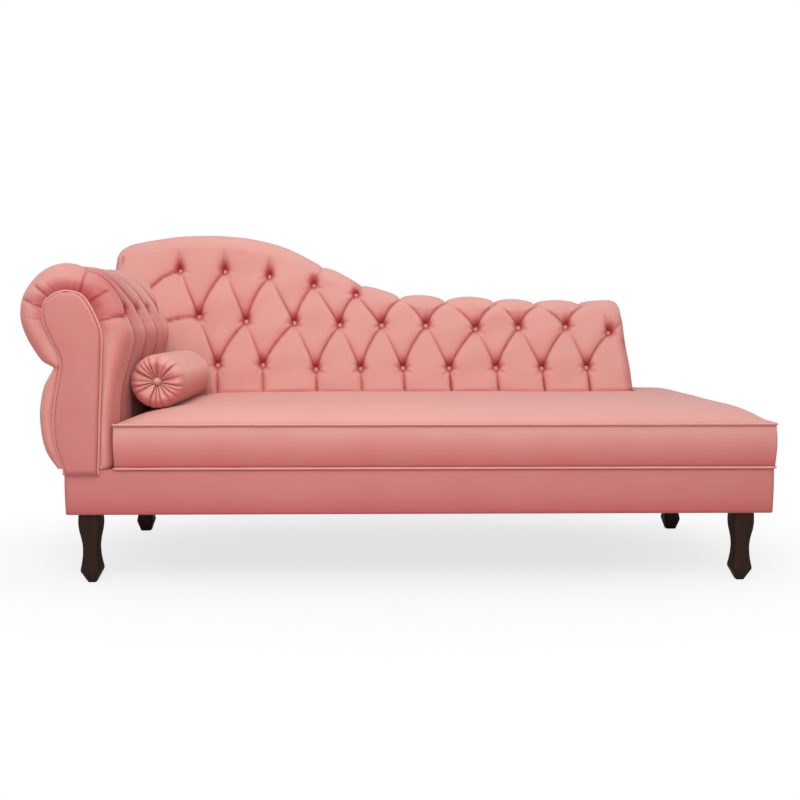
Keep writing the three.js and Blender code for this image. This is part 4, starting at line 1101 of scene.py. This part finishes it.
# %% The arm's pattern
ROUND_FRONT, ROUND_REAR, OUT_FRONT = 46.0, 16.0, 0.06
PINCH_SHARE, PINCH_WIDTH, PINCH_DEPTH = 0.243, 0.017, 0.42
DRAW_FROM, DRAWN_OUTSIDE, DRAWN_BY = 0.74, 0.96, 0.38
s = np.concatenate([spread(66, 0, 0.26)[:-1], spread(230, 0.26, 0.82)[:-1], spread(44, 0.82, 1)])
front_turn = spread(26, 0, math.pi / 2)
rear_turn = spread(8, math.pi / 2, 0)
steps_back = spread(190, 0, 1)
front_out = OUT_FRONT + (1 - OUT_FRONT) * np.sin(front_turn) ** 0.8
front_y = ROUND_FRONT * (1 - np.cos(front_turn) ** 0.8) - 5 * np.sin(np.minimum(2.2 * front_turn, math.pi))
out = np.concatenate([front_out[:-1], np.ones(len(steps_back)), 0.9 + 0.1 * np.sin(rear_turn[1:])])
back_share = np.concatenate([np.zeros(len(front_y) - 1), steps_back, np.ones(len(rear_turn) - 1)])
set_back = np.concatenate([front_y[:-1], ROUND_FRONT * (1 - steps_back) - ROUND_REAR * steps_back,
                           -ROUND_REAR * (1 - np.cos(rear_turn[1:]))])
s_grid = np.repeat(s[:, None], len(out), 1)
out_grid = np.repeat(out[None, :], len(s), 0)
x, z = outline_at(s_grid, out_grid)
y = arm_rear(z) * back_share[None, :] + set_back[None, :]
near_rear = 1 - (1 - unit((y / arm_rear(z) - DRAW_FROM) / (1 - DRAW_FROM))) ** 2
drawn = DRAWN_OUTSIDE - DRAWN_BY * unit((s_grid - 0.48) / 0.18)
pinch = np.exp(-((np.abs(s_grid - PINCH_SHARE) / PINCH_WIDTH) ** 1.2))
pinch = 1 - PINCH_DEPTH * pinch * unit((out_grid - 0.1) / 0.4)
x, z = outline_at(s_grid, pinch * (out_grid + (np.minimum(drawn, out_grid) - out_grid) * near_rear))
arm_base = np.stack([x, y, z], -1)
pad_line = np.stack(outline_at(s, np.ones_like(s)), 1)
unrolled = np.concatenate([[0], np.cumsum(np.hypot(*np.diff(pad_line, axis=0).T))])
u_arm = np.repeat(unrolled[:, None], len(out), 1)
fronted = np.concatenate([[0], np.cumsum(np.hypot(np.diff(front_y), np.diff(front_out) * 60))])
v_arm = y - ROUND_FRONT
v_arm[:, :len(fronted) - 1] = (fronted - fronted[-1])[None, :-1]
print("arm pattern", u_arm.shape, "outline", round(float(unrolled[-1])), "mm")

# %% [markdown]
# The pleats over the roll are runs of points, each a share of the outline and a distance back from
# the front. The last three tie inner buttons to those on top; the first runs out on the front of
# the roll. The smallest tucks there were pushed in by hand, so a seeded draw sets how they wander.

# %% The arm's pleats
INNER_SHARE, TOP_SHARE = 0.735, 0.575


def length_of(share):
    """The length along the padding's outline up to a share of it."""
    return float(np.interp(share, s, unrolled))


inner_line, top_line, lower_line, foot_line = [length_of(t) for t in (INNER_SHARE, TOP_SHARE, 0.8, 1)]
inner_row = [(inner_line, y0 - ROUND_FRONT) for y0 in (62, 172, 286, 396)]
top_row = [(top_line, y0 - ROUND_FRONT) for y0 in (118, 230, 341)]
arm_buttons = inner_row + top_row
arm_pleats = Pleats(u_arm, v_arm, 14.0, 2.2)
OVER = [
    [(0.696, 42), (0.66, 27), (0.62, 20)],
    [(0.701, 128), (0.669, 92), (0.64, 62), (0.6, 44)],
    [(0.704, 246), (0.671, 210), (0.64, 178), (0.6, 142)],
    [(0.707, 366), (0.682, 340), (0.646, 312), (0.6, 262)],
]
over_runs = [[(length_of(share), back_by - ROUND_FRONT) for share, back_by in over] for over in OVER]
for start, over in zip(inner_row, over_runs):
    arm_pleats.fold([start] + over, valley=(1, 0.8), cut=(1, 0.9))
for start, over in zip(top_row, over_runs[1:]):
    arm_pleats.fold([start, over[-1]], valley=(1, 0.8), cut=(1, 0.9))
    arm_pleats.fold([start, (top_line - 150, start[1] + 4)], valley=(0.9, 0.25), cut=(0.8, 0.2))
for line, back_by in inner_row:
    arm_pleats.fold([(line, back_by), (lower_line, back_by + 22), (length_of(0.83), back_by + 26),
                     (foot_line, back_by + 28)], valley=(0.9, 0.6), cut=(0.7, 1.0), reach=0.8)
rim = fronted[0] - fronted[-1]
arm_pleats.fold([inner_row[0], (length_of(0.751), 27 - ROUND_FRONT), (length_of(0.742), rim)],
                valley=(0.9, 0.3), cut=(0.9, 0.8), reach=0.6)
FRONT_FOLDS = [(0.428, 0.437, 52), (0.476, 0.48, 38), (0.624, 0.606, 84), (0.676, 0.69, 46)]
for start, end, reach_back in FRONT_FOLDS:
    run = [(length_of(start), rim), (length_of(end), rim + reach_back)]
    arm_pleats.fold(run, valley=(0.45, 0.15), cut=(1.3, 0.5), reach=0.7)
small = np.random.default_rng(21)
for share in np.linspace(0.38, 0.74, 9):
    wander = share + small.uniform(-0.012, 0.012)
    run = [(length_of(wander), rim), (length_of(wander + small.uniform(-0.008, 0.008)), rim * 0.55)]
    arm_pleats.fold(run, valley=(0.1, 0.0), cut=(0.2, 0.0), reach=0.35)
print("arm buttons", len(arm_buttons))

# %% [markdown]
# The cover is now pressed in along the surface's own direction. It isn't at the two foot lines,
# where it is tacked down, nor at the front rim, where it meets the welt. Cuts, pockets, rim and
# pinch carry painted shade, and so does a patch inside the roll; the whole arm carries a little.

# %% The arm's shape
ARM_VALLEY, ARM_CUT, ARM_POCKET, ARM_PROUD, ARM_PUCKER, ARM_UNEVEN = 12.0, 5.0, 20.0, 3.0, 0.8, 1.3
ARM_POCKET_REACH, ARM_BUTTON_DEPTH = 13.5, 25.0
# Painted shade: the whole arm a little, more at the pinch, the front rim, a patch inside the roll, cuts,
# pockets and valleys.
ARM_SHADE, PINCH_SHADE, ROLL_PATCH_SHADE, RIM_SHADE = 0.08, 0.7, 0.5, 0.62
ARM_CUT_SHADE, ARM_POCKET_SHADE, ARM_VALLEY_SHADE = 0.75, 1.6, 0.12
SHALLOW, DEEPER_BY = 1, 18


def surface_normals(grid, out_from):
    """Unit normals of a grid of points: the cross product of its two directions, turned so that
    they point away from out_from."""
    along, across = np.gradient(grid, axis=0), np.gradient(grid, axis=1)
    normal = np.cross(along, across)
    size = np.maximum(np.linalg.norm(normal, axis=-1, keepdims=True), 1e-9)
    normal = normal / size
    away = (normal * (grid - out_from)).sum(-1, keepdims=True)
    return np.where(away < 0, -normal, normal)


core_x, core_z = outline_at(s_grid, np.full_like(s_grid, -0.4))
normal = surface_normals(arm_base, np.stack([core_x, y + 25, core_z], -1))
sides = unit(np.minimum(s_grid / 0.05, (1 - s_grid) / 0.01))
edges = unit((v_arm - rim) / 12)
arm_pocket = dimple(-u_arm, v_arm, [(-line, back_by) for line, back_by in arm_buttons], ARM_POCKET_REACH)
depth = arm_pleats.depth(ARM_VALLEY, ARM_CUT) + ARM_POCKET * arm_pocket
depth += ARM_PUCKER * puckers(u_arm, v_arm, arm_buttons, seed=6)
depth += ARM_UNEVEN * ripple(u_arm, v_arm, 120, seed=14)
depth -= ARM_PROUD
depth *= sides * edges
deepest = SHALLOW + DEEPER_BY * unit((v_arm - rim) / -rim - 0.25)
depth = np.where(v_arm < 0, np.minimum(depth, deepest), depth)
arm_face = arm_base - normal * depth[..., None]
arm_face[..., 2] = np.maximum(arm_face[..., 2], BASE_TOP + 0.5)
# Painted shade at the pinch, in a patch inside the roll that turns from the light, and along the front rim.
pinch_shade = PINCH_SHADE * np.exp(-np.abs(s_grid - PINCH_SHARE) / 0.004)
roll_patch_shade = ROLL_PATCH_SHADE * np.exp(-(((s_grid - 0.69) / 0.075) ** 2) - ((y - 70) / 120) ** 2)
rim_shade = RIM_SHADE * np.exp(-(((v_arm - rim) / 17) ** 2)) * unit(1.2 - np.abs(s_grid - 0.55) / 0.2)
# All the arm's painted shade, added together.
arm_shade = (ARM_SHADE + rim_shade + ARM_CUT_SHADE * arm_pleats.cut + ARM_POCKET_SHADE * arm_pocket
            + ARM_VALLEY_SHADE * (1 - arm_pleats.left) + pinch_shade + roll_patch_shade)
at = np.arange(s_grid.size).reshape(s_grid.shape)
under = np.stack([at[0, :-1], at[-1, :-1], at[-1, 1:], at[0, 1:]], 1).tolist()
faces = grid_faces(*s_grid.shape) + under + [at[:, 0].tolist(), at[::-1, -1].tolist()]
arm = piece("arm_padded_cover", arm_face, faces, ["arm_cover"], fold=arm_shade)
print("arm", triangles(arm), "triangles")

# %% Buttons of the arm
for k, (line, back_by) in enumerate(arm_buttons):
    nearest = int(np.argmin((u_arm - line) ** 2 + (v_arm - back_by) ** 2))
    i, j = np.unravel_index(nearest, u_arm.shape)
    centre = arm_base[i, j] - normal[i, j] * ARM_BUTTON_DEPTH
    row = "inner" if k < len(inner_row) else "top"
    # The arm's buttons carry the same painted shade.
    button(f"arm_button_{row}_{k + 1:02d}", centre, normal[i, j], 40 + k, 19.0, 8.0, fold=BUTTON_SHADE)
print("arm buttons made", len(arm_buttons))

# %% [markdown]
# ### The facing
# The front of the scroll is closed by a flat panel on thin wadding. It hangs a little over the
# base, and a welt runs round its edge. The outline is single-valued in height on each side, so the
# panel is made of level rows from its left to its right edge. Near its outline the face rounds
# off, and it has a slight crown. A plain panel closes the arm's rear in the same way.

# %% The facing
ARM_DROP, PEAK_SHARE = 14.0, 14 / 25
(_, FACING_FRONT, _), (_, FACING_BACK, _) = box_of("arm_front_facing")
# Painted shade: the facing darker all over, more towards its foot.
ROUNDING, CROWN, FACING_SHADE, LOW_FACING_SHADE = 7.0, 2.0, 0.24, 0.16
REAR_OUT, REAR_DRAW = 0.56, 3.0


def side_lines(out, heights):
    """Left and right edge of the arm's outline at given heights."""
    left_s, right_s = np.linspace(0, PEAK_SHARE, 300), np.linspace(1, PEAK_SHARE, 300)
    left, right = outline_at(left_s, np.full(300, out)), outline_at(right_s, np.full(300, out))
    return np.interp(heights, left[1], left[0]), np.interp(heights, right[1], right[0])


def panel(out, low, inset):
    """Rows between the two edges, crowded towards the edges and the top, drawn in by inset."""
    peak = float(outline_at(np.array([PEAK_SHARE]), np.array([out]))[1][0]) - inset
    up = spread(110, low, peak - 0.05, "end")
    left, right = side_lines(out, np.minimum(up + inset * 0.3, peak + inset - 0.1))
    left, right = left + inset, np.maximum(right - inset, left + inset)
    across = spread(44, crowd="both")
    x = left[None, :] + (right - left)[None, :] * across[:, None]
    return x, np.repeat(up[None, :], len(across), 0)


def edge_distance(x, z, outline):
    """The distance from each point to a closed outline, the least over all its pieces."""
    near = np.full(x.shape, 1e9)
    for (x0, z0), (x1, z1) in zip(outline, np.roll(outline, -1, 0)):
        dx, dz = x1 - x0, z1 - z0
        size = dx * dx + dz * dz
        if size < 1e-9:
            continue
        along = unit(((x - x0) * dx + (z - z0) * dz) / size)
        near = np.minimum(near, np.hypot(x - x0 - along * dx, z - z0 - along * dz))
    return near


x, z = panel(0.0, BASE_TOP - ARM_DROP, WELT_RADIUS + 0.3)
loop = loop_of(*x.shape)
near = edge_distance(x, z, np.stack([x.ravel()[loop], z.ravel()[loop]], 1)[::3])
turn = 1 - unit(near / ROUNDING)
drop = ROUNDING * (1 - np.sqrt(unit(1 - turn**2))) * 0.8
swell = CROWN * unit(near / 70) ** 0.6 + 0.35 * ripple(x, z, 110, seed=31)
points, faces = backed(np.stack([x, FACING_FRONT + 1.5 + (drop - swell), z], -1), FACING_BACK)
# Painted shade, deeper towards the foot of the panel.
painted_shade_tone = FACING_SHADE + LOW_FACING_SHADE * (1 - (points[:, 2] - BASE_TOP) / ARM_HEIGHT)
facing = piece("arm_facing_panel", points, faces, ["arm_front_facing"], fold=painted_shade_tone)
x, z = panel(REAR_OUT, BASE_TOP + 0.6, REAR_DRAW)
rear_grid = np.stack([x, arm_rear(z) + 3.2, z], -1)
rear_border = rear_grid.reshape(-1, 3)[loop_of(*x.shape)]
rear_facing = piece("arm_outside_panel", *backed(rear_grid, rear_border[:, 1] - 3.0), ["arm_rear_facing"])
print("facings", triangles(facing), triangles(rear_facing))

# %% The facing's welt
around = spread(220)
x, z = outline_at(around, np.zeros_like(around))
low = BASE_TOP - ARM_DROP
run = np.concatenate([[(x[0], low)], np.stack([x, z], 1), [(x[-1], low)]])
path = np.column_stack([run[:, 0], np.full(len(run), -4.2), run[:, 1]])
arm_welt = piece("arm_facing_welt", carried(resampled(path, 4.0)), stands_for=["arm_front_welt"])
print("facing welt", triangles(arm_welt), "triangles")

# %% [markdown]
# ## The bolster
# A firm roll in a sleeve of velvet. At each end the sleeve is drawn together under a covered
# button, so the cloth lies in gathers: sharp valleys that run to the middle, wider ridges between
# them, none quite like its neighbour. The roll rests in the hollow beside the arm and is pressed a
# little flat on the seat.

# %% The bolster
bolster_low, bolster_high = box_of("bolster_cover")
BOLSTER_RADIUS = (bolster_high[0] - bolster_low[0]) / 2
BOLSTER_CENTRE = (bolster_low + bolster_high) / 2
BOLSTER_HALF = (bolster_high[1] - bolster_low[1]) / 2
END_PROFILE = [(0.03, 17), (0.1, 16), (0.18, 12.5), (0.3, 7.5), (0.45, 3), (0.58, 0.8), (0.68, 0.2),
               (0.78, 2), (0.87, 6.5), (0.94, 13), (0.985, 23), (1.0, 38)]
END_LENGTH, GATHER_DEPTH, BUTTON_SINK = END_PROFILE[-1][1], 12.0, 13.5
# The gathers' valleys carry painted shade.
GATHERS, PUFF_SHARE, GATHER_SHADE, SEAT_CLEARANCE = 18, 0.012, 0.85, 0.8


def gather_waves(angle, seed):
    """Folds round the end, bunched unevenly by slow waves in the angle: the root of a sine gives
    narrow valleys (0) and broad ridges (1). Their depth changes from fold to fold."""
    draw = np.random.default_rng(seed)
    a, b = draw.uniform(0, math.tau, 2)
    uneven = angle + 0.13 * np.sin(2 * angle + a) + 0.1 * np.sin(5 * angle + b)
    fold = np.abs(np.sin(GATHERS / 2 * uneven))
    strength = 0.7 + 0.3 * np.sin(5 * angle + a) * np.sin(2 * angle + b) + 0.25 * np.sin(9 * angle + b)
    return fold**0.5, np.clip(strength, 0.25, 1.2)


angle = np.linspace(0, math.tau, 481)
profile = np.array(END_PROFILE)
share = spread(46)
end_radius = np.interp(share, np.linspace(0, 1, len(profile)), profile[:, 0])
end_in = smooth_line(profile, end_radius)
body = spread(44, END_LENGTH, 2 * BOLSTER_HALF - END_LENGTH)[1:-1]
radial = np.concatenate([end_radius, np.ones(len(body)), end_radius[::-1]])
station = np.concatenate([end_in, body, 2 * BOLSTER_HALF - end_in[::-1]])
on_end = np.concatenate([np.ones(len(share)), np.zeros(len(body)), np.ones(len(share))])
front_end = np.arange(len(radial)) < len(radial) / 2
near_rim = unit((44 - np.where(front_end, station, 2 * BOLSTER_HALF - station)) / 30)
fan = unit(1.2 - radial) ** 0.7 * near_rim
depth = np.zeros((len(angle), len(radial)))
for is_front, seed in ((True, 2), (False, 7)):
    ridge, strength = gather_waves(angle, seed)
    depth += ((1 - ridge) * strength)[:, None] * (GATHER_DEPTH * fan * (front_end == is_front))[None, :]
sign = np.where(front_end, 1.0, -1.0)
inward = on_end * np.clip((1.02 - radial) / 0.2, 0.25, 1)
lie = station[None, :] + sign[None, :] * depth * inward[None, :]
puff = 1 - PUFF_SHARE * (1 - np.cos((station - BOLSTER_HALF) / BOLSTER_HALF * math.pi)) / 2
radius = BOLSTER_RADIUS * radial * puff
radius = radius[None, :] - depth * 0.35 * (radial > 0.8)[None, :]
cosine, sine = np.cos(angle)[:, None], np.sin(angle)[:, None]
radius = radius + 0.6 * ripple(station[None, :] + 60 * cosine, 60 * sine, 110, seed=17)
x = BOLSTER_CENTRE[0] + radius * cosine
y = bolster_low[1] + lie
z = np.maximum(BOLSTER_CENTRE[2] + radius * sine, seat_height(x, y) + SEAT_CLEARANCE)
# Painted shade in the valleys of the gathers, deeper as they go deeper.
gather_shade = unit(depth / 8) * GATHER_SHADE
bolster = piece("bolster_sleeve", np.stack([x, y, z], -1), stands_for=["bolster_cover"], body="bolster",
                fold=gather_shade)
for name, side in (("front", -1), ("rear", 1)):
    centre = BOLSTER_CENTRE + np.array([0, side * (BOLSTER_HALF - BUTTON_SINK), 0])
    button(f"bolster_end_button_{name}", centre, (0, side, 0), 70 + side, 21.0, 8.0,
           stands_for=[f"bolster_button_{name}"], body="bolster")
print("bolster", triangles(bolster), "triangles")

# %% [markdown]
# ## The legs
# Each leg is a shaped block: straight where it joins the base, then a waist, a swelling knee and a
# small tapered foot. The section is a square with well-eased edges all the way down. The widths
# come from the profile below, as shares of the leg's height and of its top. The rear feet are
# blunter than the front ones.

# %% The legs
LEG_PROFILE = [(0.165, 0.935), (0.18, 0.955), (0.2, 0.945), (0.26, 0.87), (0.32, 0.805), (0.38, 0.755),
               (0.44, 0.73), (0.5, 0.72), (0.56, 0.745), (0.62, 0.795), (0.69, 0.88), (0.75, 0.96),
               (0.785, 0.985), (0.8, 1), (1, 1)]
FLARE_HEIGHT, FLARE_WIDTH = LEG_PROFILE[0]
LEG_SIDES, FRONT_FOOT, REAR_FOOT = 64, 0.36, 0.56


def eased_square(count):
    """A square outline of half width 1 whose edges are eased: a superellipse of power seven."""
    angle = np.linspace(0, math.tau, count + 1)[:-1] + math.pi / 4
    c, s = np.cos(angle), np.sin(angle)
    reach = (np.abs(c) ** 7 + np.abs(s) ** 7) ** (-1 / 7)
    return np.stack([c * reach, s * reach], 1)


def leg(node, foot):
    """A block whose eased square widens straight from its foot to the flare, then follows the
    profile up to the base."""
    low, high = box_of(node)
    centre, half = (low + high) / 2, (high[0] - low[0]) / 2
    levels = spread(90)
    flare = foot + (FLARE_WIDTH - foot) * levels / FLARE_HEIGHT
    width = np.where(levels < FLARE_HEIGHT, flare, smooth_line(LEG_PROFILE, levels)) * half
    rings = centre[:2] + eased_square(LEG_SIDES)[None, :] * width[:, None, None]
    heights = (levels * (high[2] - low[2]))[:, None, None]
    points = np.concatenate([rings, np.broadcast_to(heights, (len(levels), LEG_SIDES, 1))], -1)
    points = np.concatenate([points, points[:, :1]], 1)
    return piece(node + "_turned", points, stands_for=[node], slot="walnut")


legs = [leg(f"leg_{end}_{side}", foot) for end, foot in (("front", FRONT_FOOT), ("rear", REAR_FOOT))
        for side in ("left", "right")]
print("legs", len(legs), "with", triangles(legs[0]), "triangles each")

# %% [markdown]
# ## Camera, floor and light
# The camera stands in front of the couch, a little left of its middle, and looks slightly down.
# The floor is plain and pale; far away it turns into the same white as the background. Light
# comes softly from above and in front, as in a photo studio.

# %% Camera
TILT, TURN = 0.0864, -0.0159
camera_data = bpy.data.cameras.new("camera")
camera_data.sensor_width, camera_data.lens = 36.0, 42.63
camera = bpy.data.objects.new("camera", camera_data)
camera.location = placed((781.1, -2290.8, 654.8))
camera.rotation_euler = (math.pi / 2 - TILT, 0, TURN)
bpy.context.scene.collection.objects.link(camera)
bpy.context.scene.camera = camera
print("camera at", [round(v, 2) for v in camera.location])

# %% Floor
REACH = 30.0
floor_mesh = bpy.data.meshes.new("floor")
corners = [(-REACH, -REACH, 0), (REACH, -REACH, 0), (REACH, REACH, 0), (-REACH, REACH, 0)]
floor_mesh.from_pydata(corners, [], [(0, 1, 2, 3)])
floor = bpy.data.objects.new("floor", floor_mesh)
bpy.context.scene.collection.objects.link(floor)
floor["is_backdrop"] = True
paper = Finish("floor", Roughness=0.9, Specular_IOR_Level=0.1, Base_Color=(0.8, 0.8, 0.8, 1))
where = paper.place((0.58, 0.95, 1.0))
away = paper.node("ShaderNodeVectorMath", {"operation": "LENGTH"}, {0: where}, output="Value")
fade = paper.node("ShaderNodeMapRange", {"interpolation_type": "SMOOTHSTEP"},
                  {"Value": away, "From Min": 0.32, "From Max": 0.95, "To Min": 0.74})
seen = paper.node("ShaderNodeLightPath", output="Is Camera Ray")
white = paper.node("ShaderNodeEmission")
plain = Wire(paper, paper.shader.outputs[0])
mixed = paper.node("ShaderNodeMixShader", inputs={0: fade * seen, 1: plain, 2: white})
paper.tree.links.new(mixed.socket, paper.tree.nodes["Material Output"].inputs[0])
floor_mesh.materials.append(paper.material)
print("floor", floor_mesh.name, "reaches", REACH, "m")

# %% Light
world = bpy.data.worlds.new("studio")
bpy.context.scene.world = world
world.use_nodes = True
sky = Network(world.node_tree)
seen = sky.node("ShaderNodeLightPath", output="Is Camera Ray")
through = sky.node("ShaderNodeLightPath", output="Is Transmission Ray")
shown = sky.node("ShaderNodeMath", {"operation": "MAXIMUM"}, {0: seen, 1: through})
strength = sky.node("ShaderNodeMapRange", inputs={"Value": shown, "To Min": 0.46, "To Max": 1.0})
background = sky.tree.nodes["Background"]
background.inputs["Color"].default_value = (1, 1, 1, 1)
sky.tree.links.new(strength.socket, background.inputs["Strength"])
TARGET = np.array([0, 0, 0.4])


def softbox(name, place, size, power):
    """A square area lamp at a place, turned to the couch; places in metres."""
    lamp = bpy.data.lights.new(name, "AREA")
    lamp.size, lamp.energy = size, power
    made = bpy.data.objects.new(name, lamp)
    made.location = place
    x, y, z = TARGET - np.array(place)
    made.rotation_euler = (math.atan2(math.hypot(x, y), -z), 0, math.atan2(y, x) - math.pi / 2)
    bpy.context.scene.collection.objects.link(made)


softbox("key", (-0.4, -2.2, 2.8), 1.5, 52)
softbox("top", (0.4, -0.2, 3.4), 2.2, 24)
softbox("fill", (0.2, -3.4, 1.5), 2.4, 20)
print("three lamps and a white sky")

# %% [markdown]
# ## The finish
# The box of the finished couch, floor left out, is printed.

# %% Sizes and the finish
bpy.context.scene.view_settings.view_transform = "Standard"
low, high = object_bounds()
print("visual box", [round(v, 4) for v in (*low, *high)])
